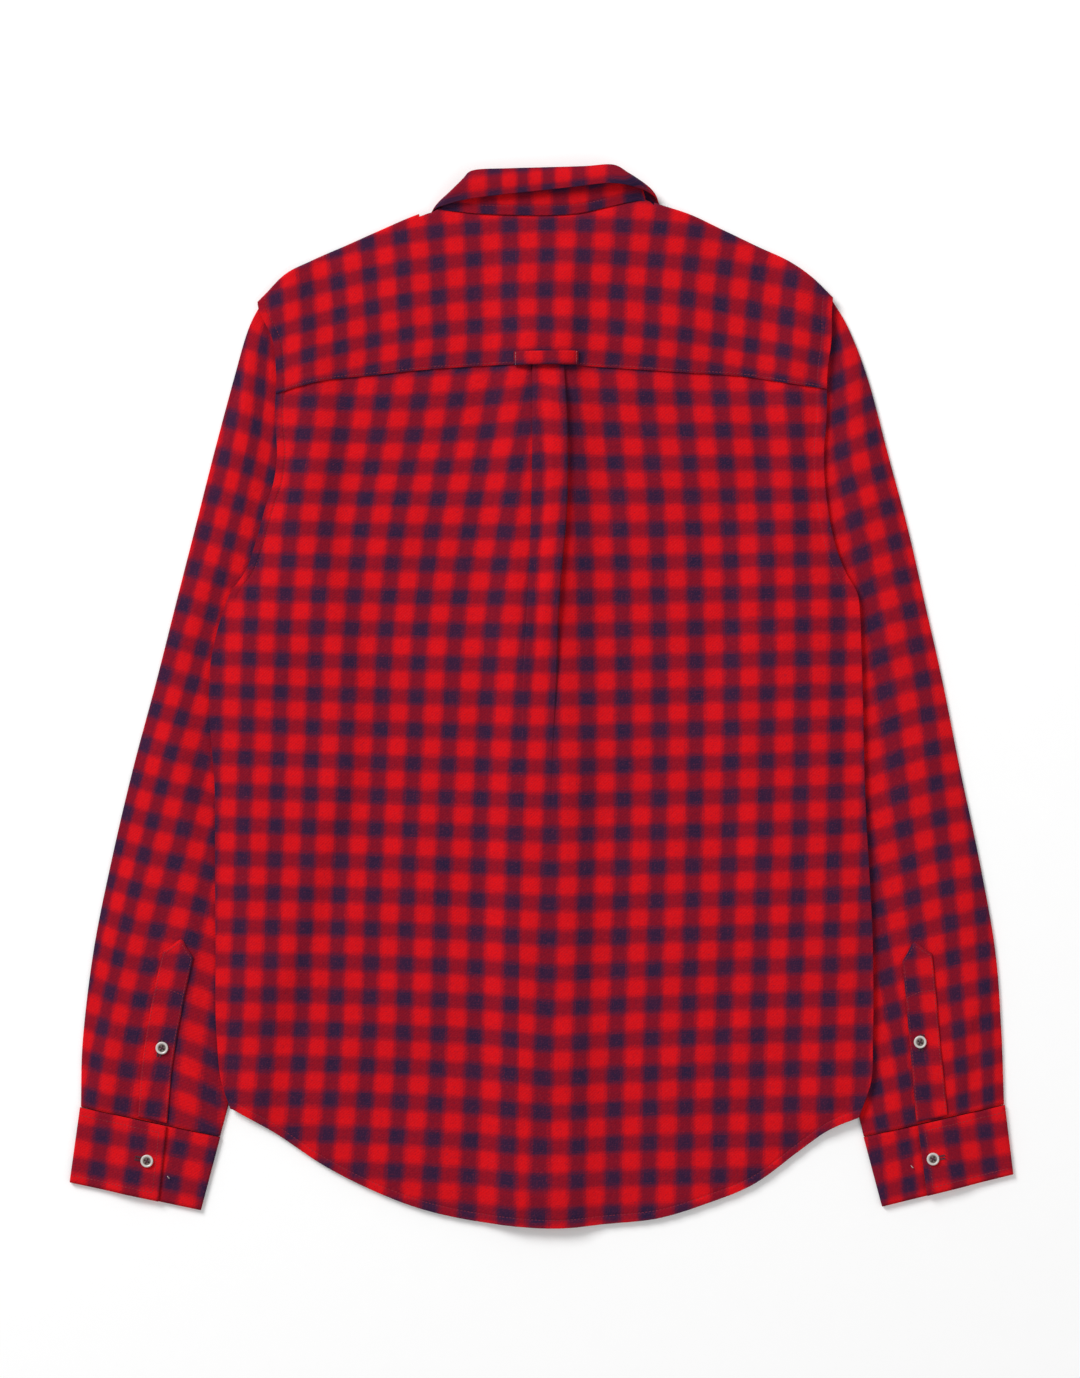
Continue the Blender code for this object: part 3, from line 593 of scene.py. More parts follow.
LEAF_DROP, LEAF_FRONT = 5, (-0.4, 0.6)
LEAF_FIRST, LEAF_LAST = 1, 21


def cuff_place(cuff, edge, down):
    """A place along one side of a cuff."""
    top, low = (np.array([cuff[f"{edge}{end}_{axis}"] for axis in "xy"]) for end in ("_top", ""))
    return top * (1 - down) + low * down


def cuff_grid(cuff):
    """The cuff band from its lapped end over the top, round the arm and back under the lap."""
    radius = CUFF_TURN_RADIUS
    low, high = CUFF_WALL / 2, CUFF_WALL / 2 + 2 * radius
    mid = low + radius
    rows = []
    for down in np.linspace(0, 1, CUFF_ROWS):
        outer, inner = cuff_place(cuff, "outer", down), cuff_place(cuff, "inner", down)
        turn = radius / np.linalg.norm(inner - outer)
        lap = cuff["lap_top"] * (1 - down) + cuff["lap"] * down
        arc = np.radians(np.linspace(0, 180, ARC_POINTS + 2)[1:-1])
        top = np.linspace(lap, turn, LAP_POINTS)
        top_level = high + (CUFF_WALL + SEAM_GAP) * smooth(CUFF_LEVELS["across"], CUFF_LEVELS["rise"], top)
        bottom = np.linspace(turn, 1 - turn, UNDER_POINTS)
        under = np.linspace(1 - turn, UNDERLAP_END, UNDER_POINTS)
        reach, rise = turn * np.sin(arc), radius * np.cos(arc)
        across = np.concatenate([top, turn - reach, bottom, 1 - turn + reach, under])
        levels = [top_level, mid + rise, np.full(UNDER_POINTS, low), mid - rise, np.full(UNDER_POINTS, high)]
        plan = outer + (inner - outer) * across[:, None]
        rows.append(np.column_stack([plan, np.concatenate(levels)]))
    return np.array(rows)


def gauntlet_grid(side, sleeve):
    """The placket strip, laid on the sleeve's upper wall and pointed at its upper end."""
    chosen = GAUNTLET["side"] == side
    ring, free, outer = (GAUNTLET[name][chosen] for name in ("ring", "free", "outer"))
    last = len(sleeve["outer_y"]) - 1
    rows = []
    for share in np.linspace(0, 1, GAUNTLET_ROWS):
        at_ring = ring[0] + (ring[-1] - ring[0]) * share
        edges = smooth(ring, free, at_ring), smooth(ring, outer, at_ring)
        row = []
        for across in np.linspace(0, 1, GAUNTLET_COLUMNS):
            point = GAUNTLET_POINT * (1 - abs(2 * across - 1)) * share**GAUNTLET_TAPER
            place = edges[0] + (edges[1] - edges[0]) * across
            spot = sleeve_top(sleeve, (at_ring + point) / last, place)
            row.append(spot + np.array([0, 0, LAYER]))
        rows.append(row)
    return np.array(rows)


def loop_grid():
    """The hanging loop, arched a little over the pleat's head."""
    across, up = np.meshgrid(np.linspace(0, 1, LOOP_COLUMNS), np.linspace(0, 1, LOOP_ROWS))
    x = LOOP["left"] + (LOOP["right"] - LOOP["left"]) * across
    y = LOOP["low"] + LOOP["width"] * up + LOOP["tilt"] * (across - 0.5)
    arch = LOOP["arch"] * np.sin(math.pi * across)
    return np.stack([x, y, yoke_level(x, y) + LAYER + arch + LOOP["lift"]], -1)


def band_grid():
    """The band behind the buttons, from the neckline to the hem."""
    across, down = np.meshgrid(np.linspace(-1, 1, BAND_COLUMNS), np.linspace(0, 1, BAND_ROWS))
    x = across * BAND_WIDTH / 2
    y = front_top_y(x) + (front_hem_y(x) - front_top_y(x)) * down
    return np.stack([x, y, np.full_like(x, FLOOR + BAND_RISE - LAYER)], -1)


def collar_station(at):
    """The collar's seam, roll line and edge at places along it, and the way out of the stand there."""
    row = row_between(COLLAR, at)
    lines = [np.stack([row[f"{line}_{axis}"] for axis in "xyz"], -1) for line in ("seam", "roll", "edge")]
    sine, cosine = np.sin(np.radians(row["turn"])), np.cos(np.radians(row["turn"]))
    return *lines, np.stack([-COLLAR_LEAN_OUT * sine, COLLAR_LEAN_UP * np.abs(sine), cosine], -1)


def stand_grid(stations, rows):
    """The collar's stand, from its seam up to the roll line."""
    seam, roll, _, outward = collar_station(stations)
    top = roll - COLLAR_SPLIT * outward
    return np.array([seam + (top - seam) * up for up in np.linspace(0, 1, rows)])


def leaf_grid(stations, rows):
    """The turned-down collar: it leaves the roll line level with it and falls to its edge."""
    _, roll, edge, outward = collar_station(stations)
    start = roll + COLLAR_SPLIT * outward
    grid = []
    for share in np.linspace(0, 1, rows):
        point = start + (edge - start) * share
        front = fade(outward[:, 2], *LEAF_FRONT)
        drop = (1 - share) ** LEAF_DROP * front + (1 - share) * (1 - front)
        point[:, 2] = edge[:, 2] + (start[:, 2] - edge[:, 2]) * drop
        point[:, 2] += LEAF_ARCH * math.sin(math.pi * share) * (1 - front)
        side = np.hypot(outward[:, 0], outward[:, 1])[:, None]
        bulge = outward * side * LEAF_BULGE * math.sin(math.pi * share) ** LEAF_BULGE_CURVE
        bulge[:, 2] = np.maximum(bulge[:, 2], 0)
        grid.append(point + bulge)
    return np.array(grid)


# Each sleeve button's place and the height of its lower face.
SLEEVE_BUTTONS = (
    ("left_gauntlet_button", -284.6, -264.0, 6.0),
    ("left_cuff_button", -295.9, -348.8, 5.6),
    ("right_gauntlet_button", 283.9, -259.5, 6.0),
    ("right_cuff_button", 293.6, -347.3, 5.6),
)
# Pale specks beside the cuff buttons: a painted glint where a spare button lies mostly hidden, drawn as short
# stitches of pale thread.
PAINTED_GLINT_SPOTS = (((-281, -360, 5.0), (-278.5, -363, 5.0)), ((277, -352, 5.0), (279, -354.5, 5.0)))


# ---------------------------------------------------------------- check repeats
# U counts the repeats of the check across the shirt and V down it; whole numbers are dark square centres.

REPEAT_X, REPEAT_Y = 26.5, 26.0
CHECK_SPLIT_X = 1.0

LEFT_CHECK_X = np.array([-230, -120, -25], float)
LEFT_CHECK = table(
    "y u1 u2 u3 v1 v2 v3",
    (-380, -4.50, -0.30, 3.05, 14.95, 14.90, 14.65),
    (-270, -4.95, -0.60, 2.95, 10.80, 10.70, 10.50),
    (-150, -5.20, -0.75, 2.85, 6.10, 6.00, 5.85),
    (-40, -5.35, -0.95, 2.70, 1.75, 1.60, 1.50),
    (60, -5.50, -1.15, 2.40, -2.30, -2.40, -2.45),
    (150, -5.70, -1.57, 1.92, -5.95, -6.08, -6.08),
    (190, -5.86, -1.84, 1.65, -7.60, -7.78, -7.63),
    (235, -6.05, -2.10, 1.32, -9.45, -9.60, -9.39),
)
RIGHT_CHECK_X = np.array([25, 125, 235], float)
RIGHT_CHECK = table(
    "y u1 u2 u3 v1 v2 v3",
    (-380, 4.95, 8.70, 12.90, 14.65, 14.75, 14.80),
    (-270, 4.85, 8.60, 12.80, 10.40, 10.55, 10.65),
    (-150, 4.70, 8.45, 12.65, 5.80, 5.90, 6.05),
    (-40, 4.65, 8.35, 12.55, 1.50, 1.60, 1.75),
    (60, 4.70, 8.35, 12.50, -2.45, -2.35, -2.25),
    (150, 4.84, 8.45, 12.55, -6.00, -6.00, -5.95),
    (235, 5.12, 8.70, 12.70, -9.39, -9.48, -9.50),
)
BOX_COLUMN = 3
BOX_CHECK = table(
    "y third fourth",
    (-60, -17.5, 8),
    (-30, -16, 9),
    (20, -12.5, 12),
    (72, -9, 13.5),
    (98, -8, 15),
    (123, -6, 17),
    (149, -4, 20),
    (174, -4, 22),
    (224, -9, 21),
    (250, -8, 19),
)
YOKE_CHECK_X = np.array([-190, -90, 0, 90, 190], float)
YOKE_CHECK = table(
    "y u1 u2 u3 u4 u5 v1 v2 v3 v4 v5",
    (245, -7.65, -3.50, 0.00, 3.40, 7.40, 1.25, 2.20, 2.40, 2.20, 1.50),
    (270, -7.65, -3.55, -0.10, 3.30, 7.30, 0.20, 1.10, 1.35, 1.10, 0.45),
    (300, -7.60, -3.50, -0.10, 3.25, 7.20, -1.00, -0.10, 0.15, 0.00, -0.60),
    (330, -7.45, -3.45, -0.15, 3.15, 7.00, -2.20, -1.30, -1.00, -1.15, -1.65),
    (360, -7.25, -3.35, -0.15, 3.00, 6.75, -3.50, -2.60, -2.30, -2.40, -2.85),
)
SLEEVE_CHECK_IN = np.array([3, 30, 60, 95], float)
LEFT_SLEEVE_CHECK = table(
    "y u1 u2 u3 u4 v1 v2 v3 v4",
    (-300, -0.20, 0.95, 1.90, 2.95, 8.00, 7.75, 7.55, 7.05),
    (-200, -0.80, 0.50, 1.60, 2.80, 4.35, 4.00, 3.80, 3.35),
    (-120, -0.95, 0.30, 1.45, 2.85, 1.25, 0.95, 0.70, 0.20),
    (-40, -1.05, 0.20, 1.40, 3.10, -1.85, -2.15, -2.45, -3.05),
    (40, -1.10, 0.10, 1.50, 3.55, -4.90, -5.20, -5.55, -6.35),
    (120, -1.20, 0.10, 1.65, 4.15, -7.85, -8.15, -8.60, -9.60),
    (200, -1.20, 0.20, 2.05, 5.10, -10.70, -11.00, -11.55, -12.75),
    (270, -0.65, 1.00, 3.30, 7.20, -13.10, -13.50, -14.20, -15.90),
)
RIGHT_SLEEVE_CHECK = table(
    "y u1 u2 u3 u4 v1 v2 v3 v4",
    (-300, 1.45, 0.05, -1.40, -3.00, 8.10, 7.85, 7.55, 7.20),
    (-200, 1.30, 0.10, -1.10, -2.40, 4.35, 4.15, 3.85, 3.40),
    (-120, 0.90, -0.15, -1.25, -2.35, 1.25, 1.05, 0.70, 0.25),
    (-40, 0.60, -0.45, -1.40, -2.35, -1.90, -2.10, -2.50, -2.95),
    (40, 0.40, -0.60, -1.55, -2.45, -5.00, -5.25, -5.70, -6.20),
    (120, 0.35, -0.70, -1.70, -2.60, -8.10, -8.40, -8.90, -9.45),
    (200, 0.20, -0.95, -2.00, -2.90, -11.20, -11.60, -12.10, -12.75),
    (270, -0.50, -1.65, -2.70, -3.55, -14.05, -14.55, -15.15, -15.80),
)
# A dark square's centre, the step to the next one across, and the step to the next one down.
PATCH_CHECK = table(
    "x y across_x across_y down_x down_y",
    (-330, -330, 27, -5.0, -3.5, -25.5),
    (-272, -340, 26, -6.0, -5.5, -25.5),
    (333, -327, -25, -3.5, 3.5, -25.5),
    (273, -340, -22, -6.0, 3.0, -27.0),
    (-267, -200, 27, -3.0, -6.0, -27.4),
    (274, -191, -27, -2.0, 3.0, -26.6),
    (7, 244.0, 24.6, 0.0, 0.0, -26.0),
)
LEFT_LAP, LEFT_UNDERLAP, RIGHT_LAP, RIGHT_UNDERLAP, LEFT_PLACKET, RIGHT_PLACKET, LOOP_PATCH = range(7)
# Dark columns of the collar's check on the back of the neck, one repeat apart.
LEAF_CHECK_X = np.array([-61, -35, -14, 5, 28, 55], float)
STAND_CHECK_X = np.array([-67, -40, -13, 14, 41, 68], float)
LEAF_REPEAT_Y, STAND_REPEAT_Y = 20.0, 18.0
STAND_ROW = 3.0


def carried(keys, values, where):
    """Like smooth, and carried on straight beyond the first and the last row."""
    where = np.asarray(where, float)
    slopes = np.gradient(values, keys)
    beyond = np.minimum(where - keys[0], 0) * slopes[0] + np.maximum(where - keys[-1], 0) * slopes[-1]
    return smooth(keys, values, where) + beyond


def between_columns(places, columns, where):
    """Values between a table's columns, one value of each column for each place in `where`."""
    columns, where = np.asarray(columns), np.asarray(where, float)
    slopes = np.gradient(columns, places, axis=0, edge_order=2)
    inside = np.clip(where, places[0], places[-1])
    span = np.clip(np.searchsorted(places, inside, side="right") - 1, 0, len(places) - 2)
    pick = tuple(np.indices(where.shape))
    step = places[span + 1] - places[span]
    before, after = ((columns[(which, *pick)], slopes[(which, *pick)]) for which in (span, span + 1))
    value = eased((inside - places[span]) / step, step, before, after)
    nearest = np.where(where < places[0], 0, len(places) - 1)
    return value + (where - inside) * slopes[(nearest, *pick)]


def check_from(rows, places, where, y):
    """U and V from a table of checks at a place across it and at height y."""
    count = len(places)
    found = []
    for letter in "uv":
        columns = [carried(rows["y"], rows[f"{letter}{i + 1}"], y) for i in range(count)]
        found.append(between_columns(places, columns, where))
    return np.stack(found, -1)


def patch_check(which, x, y):
    """U and V on a small piece whose check runs straight."""
    row = row_of(PATCH_CHECK, which)
    dx, dy = np.asarray(x) - row["x"], np.asarray(y) - row["y"]
    area = row["across_x"] * row["down_y"] - row["across_y"] * row["down_x"]
    u = (dx * row["down_y"] - dy * row["down_x"]) / area
    v = (dy * row["across_x"] - dx * row["across_y"]) / area
    return np.stack([u, v], -1)


def plain_check(x, y, shift=0.0):
    """U and V of a check that runs straight with the shirt."""
    return np.stack([np.asarray(x) / REPEAT_X + shift, -np.asarray(y) / REPEAT_Y], -1)


def box_check(x, y):
    """U on the pleat's box, where the third and fourth dark columns lie side by side."""
    third = carried(BOX_CHECK["y"], BOX_CHECK["third"], y)
    fourth = carried(BOX_CHECK["y"], BOX_CHECK["fourth"], y)
    return BOX_COLUMN + (x - third) / (fourth - third)


def back_check(grid, first, last):
    """The back's U and V: flat to columns `first` and from `last`, and running round the pleat's turns."""
    x, y = grid[..., 0], grid[..., 1]
    left = check_from(LEFT_CHECK, LEFT_CHECK_X, x, y)
    right = check_from(RIGHT_CHECK, RIGHT_CHECK_X, x, y)
    check = np.where((x < CHECK_SPLIT_X)[..., None], left, right)
    box_start = first + (last - first) // 2 - BOX_POINTS // 2 - 1
    box_end = box_start + BOX_POINTS + 1
    for row in range(len(grid)):
        points = grid[row, first : last + 1]
        lengths = along_line(points)
        to_left, to_right = box_start - first, box_end - first
        u = box_check(points[:, 0], points[:, 1])
        start_u, end_u = left[row, first, 0], right[row, last, 0]
        share = lengths[: to_left + 1] / lengths[to_left]
        u[: to_left + 1] = start_u + (u[to_left] - start_u) * share
        share = (lengths[to_right:] - lengths[to_right]) / (lengths[-1] - lengths[to_right])
        u[to_right:] = u[to_right] + (end_u - u[to_right]) * share
        check[row, first : last + 1, 0] = u
        blend = (points[:, 0] - points[0, 0]) / (points[-1, 0] - points[0, 0])
        v = left[row, first, 1] + (right[row, last, 1] - left[row, first, 1]) * np.clip(blend, 0, 1)
        check[row, first : last + 1, 1] = v
    return check


# ---------------------------------------------------------------- folds and relief

# Soft ridges (height above 0) and troughs along straight runs; a short, wide run is a round swell.
BACK_FOLDS = table(
    "start_x start_y end_x end_y width height",
    (-182, 21, -170, -50, 9, -0.9),
    (-170, -50, -158.5, -111, 9, -1.1),
    (-158.5, -111, -158.5, -290, 8, -1.2),
    (-168, -60, -149, -290, 13, 0.7),
    (140, -225, 131.5, -276, 8, -1.1),
    (150, -215, 146, -290, 10, 0.6),
    (-13, 232, -13, 72, 6, -0.7),
    (26, 238, 26, -18, 7, -0.8),
    (-115, 127, -118, 140, 22, 0.9),
    (29, -71, 31, -60, 20, 0.8),
    (-90, 100, -86, 92, 20, -0.8),
    (140, 127, 143, 118, 20, -0.8),
    (69, 2, 73, -6, 20, -0.8),
    (-40, -100, -38, -108, 20, -0.7),
    (62, -100, 64, -108, 20, -0.7),
    (-205, -250, -236, -300, 8, -0.6),
    (214, -240, 240, -296, 8, -0.6),
    (196, 60, 160, 10, 14, 0.6),
    (-196, 62, -150, 20, 14, 0.6),
)
SLEEVE_FOLDS = table(
    "start_x start_y end_x end_y width height",
    (-333, -213, -337, -284, 6, -1.0),
    (-322, -226, -325, -296, 8, 0.7),
    (330, -240, 323, -306, 4.5, -1.5),
    (320, -232, 315, -300, 8, 0.7),
    (-252, -285, -250, -327, 4, -0.9),
    (-238, -262, -240, -322, 7, 0.5),
    (-268, 20, -214, 10, 14, -0.8),
    (-286, -46, -226, -62, 15, 0.8),
    (-300, -112, -240, -122, 14, -0.7),
    (266, 24, 214, 10, 14, -0.8),
    (298, -40, 226, -60, 15, 0.8),
    (310, -108, 240, -124, 14, -0.7),
    (-212, -20, -192, -70, 9, 0.8),
    (214, -18, 190, -66, 9, 0.8),
)
SWELLS = table(
    "length angle phase height",
    (172, 22, 0.3, 0.50),
    (121, 76, 1.9, 0.42),
    (88, 131, 4.0, 0.34),
    (63, 12, 2.2, 0.24),
    (47, 58, 5.1, 0.17),
    (36, 101, 0.8, 0.12),
    (28, 152, 3.3, 0.08),
)
LIFT = 0.9
PUCKER_PITCH, PUCKER_HEIGHT, PUCKER_REACH = 13.0, 0.22, 9.0
WELT_HEIGHT, GROOVE_DEPTH, GROOVE_WIDTH = 0.35, 0.45, 1.0
ARMHOLE_STITCH_LEFT, ARMHOLE_STITCH_RIGHT = 6.0, 7.5
HEM_DEPTH = 6.0
YOKE_STITCH, YOKE_EDGE_DROP = 1.6, 0.8
ARMHOLE_RISE, ARMHOLE_RISE_WIDTH, ARMHOLE_RISE_Y = 1.7, 9.0, (60, 120)
SWELL_BEND_X, SWELL_BEND_Y = (17, 71), (13, 63)
PUCKER_WANDER, PUCKER_WANDER_LENGTH = 3, 19
LEFT_SEED, RIGHT_SEED, HEM_SEED, YOKE_SEED = 0.4, 1.7, 2.6, 0.9
GATHER_WANDER, GATHER_REACH = 2, 8
YOKE_GATHERS, YOKE_GATHER_HEIGHT = (2.3, 31), 0.6 * PUCKER_HEIGHT
CUFF_GATHERS, CUFF_GATHER_HEIGHT = (1.9, 23), 0.12
CUFF_LIFT, CUFF_SWELL, CUFF_SWELL_SCALE, CUFF_LOOSE = 0.45, 0.5, 1.6, 0.6
YOKE_LOOSE, YOKE_SWELL, YOKE_WELT, YOKE_EDGE_WIDTH = 0.6, 0.7, 0.6, 2
YOKE_SWELL_X, YOKE_SWELL_Y = 90, -40
SLEEVE_SWELL, SLEEVE_SWELL_SCALE, SLEEVE_SWELL_X = 0.9, 1.3, 40
LOWEST_SOFTNESS = 0.12
# Each pair is how far from an edge the cloth lies loose, and how far from it the cloth lies flat.
LOOSE_FROM_SIDE, LOOSE_FROM_HEM, LOOSE_FROM_YOKE = (30, 3), (26, 2), (22, 0)
LOOSE_OVER_SEAM, LOOSE_FROM_SHOULDER, LOOSE_YOKE_EDGE = (22, 3), (14, 2), (10, SHOULDER_BULGE)
LOOSE_FROM_BODY, LOOSE_FROM_FOLD, LOOSE_FROM_CUFF = (26, 5), (10, 1), (30, 8)
BUTTON_HOLDS = (8, 20)
ARMHOLE_SEAM_Y = (92, 60)


def folded(x, y, rows, strength=1.0):
    """The sum of a table's ridges and troughs at each place."""
    total = np.zeros(np.shape(x))
    for i in range(len(rows["width"])):
        start_x, start_y, end_x, end_y, width, height = (values[i] for values in rows.values())
        run_x, run_y = end_x - start_x, end_y - start_y
        length = run_x**2 + run_y**2
        share = np.clip(((x - start_x) * run_x + (y - start_y) * run_y) / length, 0, 1)
        away = np.hypot(x - start_x - share * run_x, y - start_y - share * run_y)
        total = total + height * np.exp(-((away / width) ** 2))
    return total * strength


def swells(x, y):
    """Low, uneven waves of cloth that lies loosely."""
    bent_x = x + SWELL_BEND_X[0] * np.sin(y / SWELL_BEND_X[1])
    bent_y = y + SWELL_BEND_Y[0] * np.sin(x / SWELL_BEND_Y[1] + 1)
    total = np.zeros(np.shape(x))
    for i in range(len(SWELLS["length"])):
        length, angle, phase, height = (values[i] for values in SWELLS.values())
        angle = math.radians(angle)
        along = bent_x * math.cos(angle) + bent_y * math.sin(angle)
        total = total + height * np.sin(2 * math.pi * along / length + phase)
    return total


def never_below(value, lowest):
    """Rounds off what would dip under `lowest`."""
    above = value - lowest
    return lowest + (above + np.sqrt(above**2 + LOWEST_SOFTNESS)) / 2


def seam_relief(away, along, stitch, seed):
    """Beside a sewn edge: a raised welt out to its stitch line, a groove there, and small puckers."""
    along = along + PUCKER_WANDER * np.sin(along / PUCKER_WANDER_LENGTH + seed)
    pucker = PUCKER_HEIGHT * np.sin(2 * math.pi * along / PUCKER_PITCH + seed)
    pucker = pucker * np.exp(-away / PUCKER_REACH)
    welt = WELT_HEIGHT * fade(away, stitch - 1, stitch + 1)
    groove = -GROOVE_DEPTH * np.exp(-(((away - stitch) / GROOVE_WIDTH) ** 2))
    return pucker + welt + groove


def armhole_rise(from_right, y):
    """The right armhole's edge stands up a little from the sleeve."""
    return ARMHOLE_RISE * np.exp(-((from_right / ARMHOLE_RISE_WIDTH) ** 2)) * fade(y, *ARMHOLE_RISE_Y)


def gathers(x, away, length, wander):
    """Fine gathers along a seam that runs across the shirt, dying out away from it."""
    return np.sin(x / length + GATHER_WANDER * np.sin(x / wander)) * np.exp(-away / GATHER_REACH)


def back_relief(x, y, strength=1.0):
    """What the back's cloth rises above its plain form."""
    from_left, from_right = x - body_left(y), body_right(y) - x
    from_hem = y - hem_y(x)
    below_yoke = yoke_seam_y(x) - y
    inner = fade(side_distance(x, y), *LOOSE_FROM_SIDE) * fade(from_hem, *LOOSE_FROM_HEM)
    loose = LIFT + swells(x, y) + folded(x, y, BACK_FOLDS, strength)
    total = never_below(loose, 0.0) * inner * fade(below_yoke, *LOOSE_FROM_YOKE)
    left_seam = seam_relief(from_left, y, ARMHOLE_STITCH_LEFT, LEFT_SEED)
    right_seam = seam_relief(from_right, y, ARMHOLE_STITCH_RIGHT, RIGHT_SEED)
    total = total + (left_seam + right_seam) * fade(y, *ARMHOLE_SEAM_Y) + armhole_rise(from_right, y)
    total = total + YOKE_GATHER_HEIGHT * gathers(x, np.maximum(below_yoke, 0), *YOKE_GATHERS)
    return total + seam_relief(from_hem, x, HEM_DEPTH, HEM_SEED)


def back_surface(x, y):
    """Height of the middle of the back's wall with its relief, away from the pleat."""
    return back_level(x, y) + back_relief(x, y)


def yoke_relief(x, y):
    """What the yoke's cloth rises above its plain form."""
    above_seam = y - yoke_seam_y(x)
    below_fold = shoulder_y(x) - y
    from_left, from_right = x - body_left(y), body_right(y) - x
    inner = fade(side_distance(x, y), *LOOSE_FROM_SIDE) * fade(above_seam, *LOOSE_OVER_SEAM)
    loose = YOKE_LOOSE * LIFT + YOKE_SWELL * swells(x + YOKE_SWELL_X, y + YOKE_SWELL_Y)
    total = never_below(loose, 0.0) * inner * fade(below_fold, *LOOSE_FROM_SHOULDER)
    total = total + seam_relief(from_left, y, ARMHOLE_STITCH_LEFT, LEFT_SEED)
    total = total + seam_relief(from_right, y, ARMHOLE_STITCH_RIGHT, RIGHT_SEED) + armhole_rise(from_right, y)
    total = total + YOKE_WELT * seam_relief(above_seam, x, YOKE_STITCH, YOKE_SEED)
    total = total - YOKE_EDGE_DROP * fade(above_seam, 0, YOKE_EDGE_WIDTH)
    return total * fade(below_fold, *LOOSE_YOKE_EDGE)


def yoke_surface(x, y):
    return yoke_level(x, y) + yoke_relief(x, y)


def sleeve_relief(x, y, from_edges):
    """Waves and folds of a sleeve, away from its edges and from the body on it."""
    outside = np.maximum(body_left(y) - x, x - body_right(y))
    clear = fade(outside, *LOOSE_FROM_BODY) * fade(from_edges, *LOOSE_FROM_FOLD)
    waves = swells(x * SLEEVE_SWELL_SCALE + SLEEVE_SWELL_X, y)
    loose = LIFT + SLEEVE_SWELL * waves + folded(x, y, SLEEVE_FOLDS)
    return never_below(loose, 0.0) * clear


def finer(grid, down, across):
    """The same surface with more steps, on smooth curves through its points."""
    for axis, times in ((0, down), (1, across)):
        count = grid.shape[axis]
        at = np.linspace(0, count - 1, (count - 1) * times + 1)
        lines = np.moveaxis(grid, axis, 0)
        keys = np.arange(count, dtype=float)
        new = [smooth(keys, line, at) for line in lines.reshape(count, -1).T]
        grid = np.moveaxis(np.stack(new, -1).reshape(len(at), *lines.shape[1:]), 0, axis)
    return grid


# ---------------------------------------------------------------- pieces


def linked(name, data):
    """A new object in the scene."""
    piece = bpy.data.objects.new(name, data)
    bpy.context.scene.collection.objects.link(piece)
    return piece


def cloth(name, grid, check, look, wall=WALL, ring=False, even=True, keep=None):
    """A grid of points in millimetres as cloth: its check is the UV map, its wall comes from Solidify."""
    grid = np.asarray(grid, float)
    rows, columns = grid.shape[:2]
    steps = columns if ring else columns - 1
    row, column = np.meshgrid(np.arange(rows - 1), np.arange(steps), indexing="ij")
    after = (column + 1) % columns
    here, below = row * columns, (row + 1) * columns
    faces = np.stack([here + column, below + column, below + after, here + after], -1).reshape(-1, 4)
    if keep is not None:
        faces = faces[keep.reshape(-1)]
    used, faces = np.unique(faces, return_inverse=True)
    faces = faces.reshape(-1, 4)
    mesh = bpy.data.meshes.new(name)
    mesh.from_pydata((grid.reshape(-1, 3)[used] * MM).tolist(), [], faces.tolist())
    layer = mesh.uv_layers.new(name="cloth")
    layer.data.foreach_set("uv", np.asarray(check, float).reshape(-1, 2)[used][faces.reshape(-1)].ravel())
    mesh.shade_smooth()
    mesh.materials.append(look)
    piece = linked(name, mesh)
    solid = piece.modifiers.new("wall", "SOLIDIFY")
    solid.thickness = wall * MM
    solid.offset = 0
    solid.use_even_offset = even and not ring
    return piece


def settle(piece, *nodes, slot="flannel"):
    """Makes a piece ride on the shirt and stand for its solids."""
    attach(piece, "root")
    if nodes:
        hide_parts(*nodes)
    return piece


# One stitch as shares of its length, its width and its width upwards: a spindle of four sides.
STITCH_ENDS = ((-0.5, 0, 0), (-0.28, 0.5, 0.15), (-0.28, 0, 0.5), (-0.28, -0.5, 0.15), (-0.28, 0, -0.4))
STITCH_ENDS += ((0.28, 0.5, 0.15), (0.28, 0, 0.5), (0.28, -0.5, 0.15), (0.28, 0, -0.4), (0.5, 0, 0))
STITCH_FACES = ((0, 2, 1), (0, 3, 2), (0, 4, 3), (0, 1, 4), (9, 5, 6), (9, 6, 7), (9, 7, 8), (9, 8, 5))
STITCH_FACES += ((1, 2, 6, 5), (2, 3, 7, 6), (3, 4, 8, 7), (4, 1, 5, 8))
STITCH_REACH = 0.4


def stitch_run(path, up, pitch, length, width):
    """Points and faces of a row of stitches along a path in millimetres; `up` is out of the cloth."""
    path, up = np.asarray(path, float), np.broadcast_to(np.asarray(up, float), np.shape(path))
    lengths = along_line(path)
    at = np.arange(pitch / 2, lengths[-1] - pitch / 4, pitch)

    def along(values, where):
        return np.stack([np.interp(where, lengths, values[:, i]) for i in range(3)], -1)

    middle, out = along(path, at), along(up, at)
    forward = along(path, at + STITCH_REACH * length) - along(path, at - STITCH_REACH * length)
    forward /= np.linalg.norm(forward, axis=1)[:, None]
    side = np.cross(out, forward)
    side /= np.linalg.norm(side, axis=1)[:, None]
    shape = np.array(STITCH_ENDS)
    points = middle[:, None] + forward[:, None] * shape[:, :1] * length
    points = points + side[:, None] * shape[:, 1:2] * width + out[:, None] * shape[:, 2:] * width
    firsts = range(0, len(at) * len(shape), len(shape))
    faces = [[corner + first for corner in face] for first in firsts for face in STITCH_FACES]
    return points.reshape(-1, 3), faces


def joined(runs):
    """The points and faces of several rows of stitches as those of one."""
    points, faces, count = [], [], 0
    for run_points, run_faces in runs:
        points.append(run_points)
        faces += [[corner + count for corner in face] for face in run_faces]
        count += len(run_points)
    return np.concatenate(points), faces


def stitches(name, runs, look):
    """One piece of several rows of stitches."""
    points, faces = joined(runs)
    mesh = bpy.data.meshes.new(name)
    mesh.from_pydata((points * MM).tolist(), [], faces)
    mesh.shade_smooth()
    mesh.materials.append(look)
    return settle(linked(name, mesh))


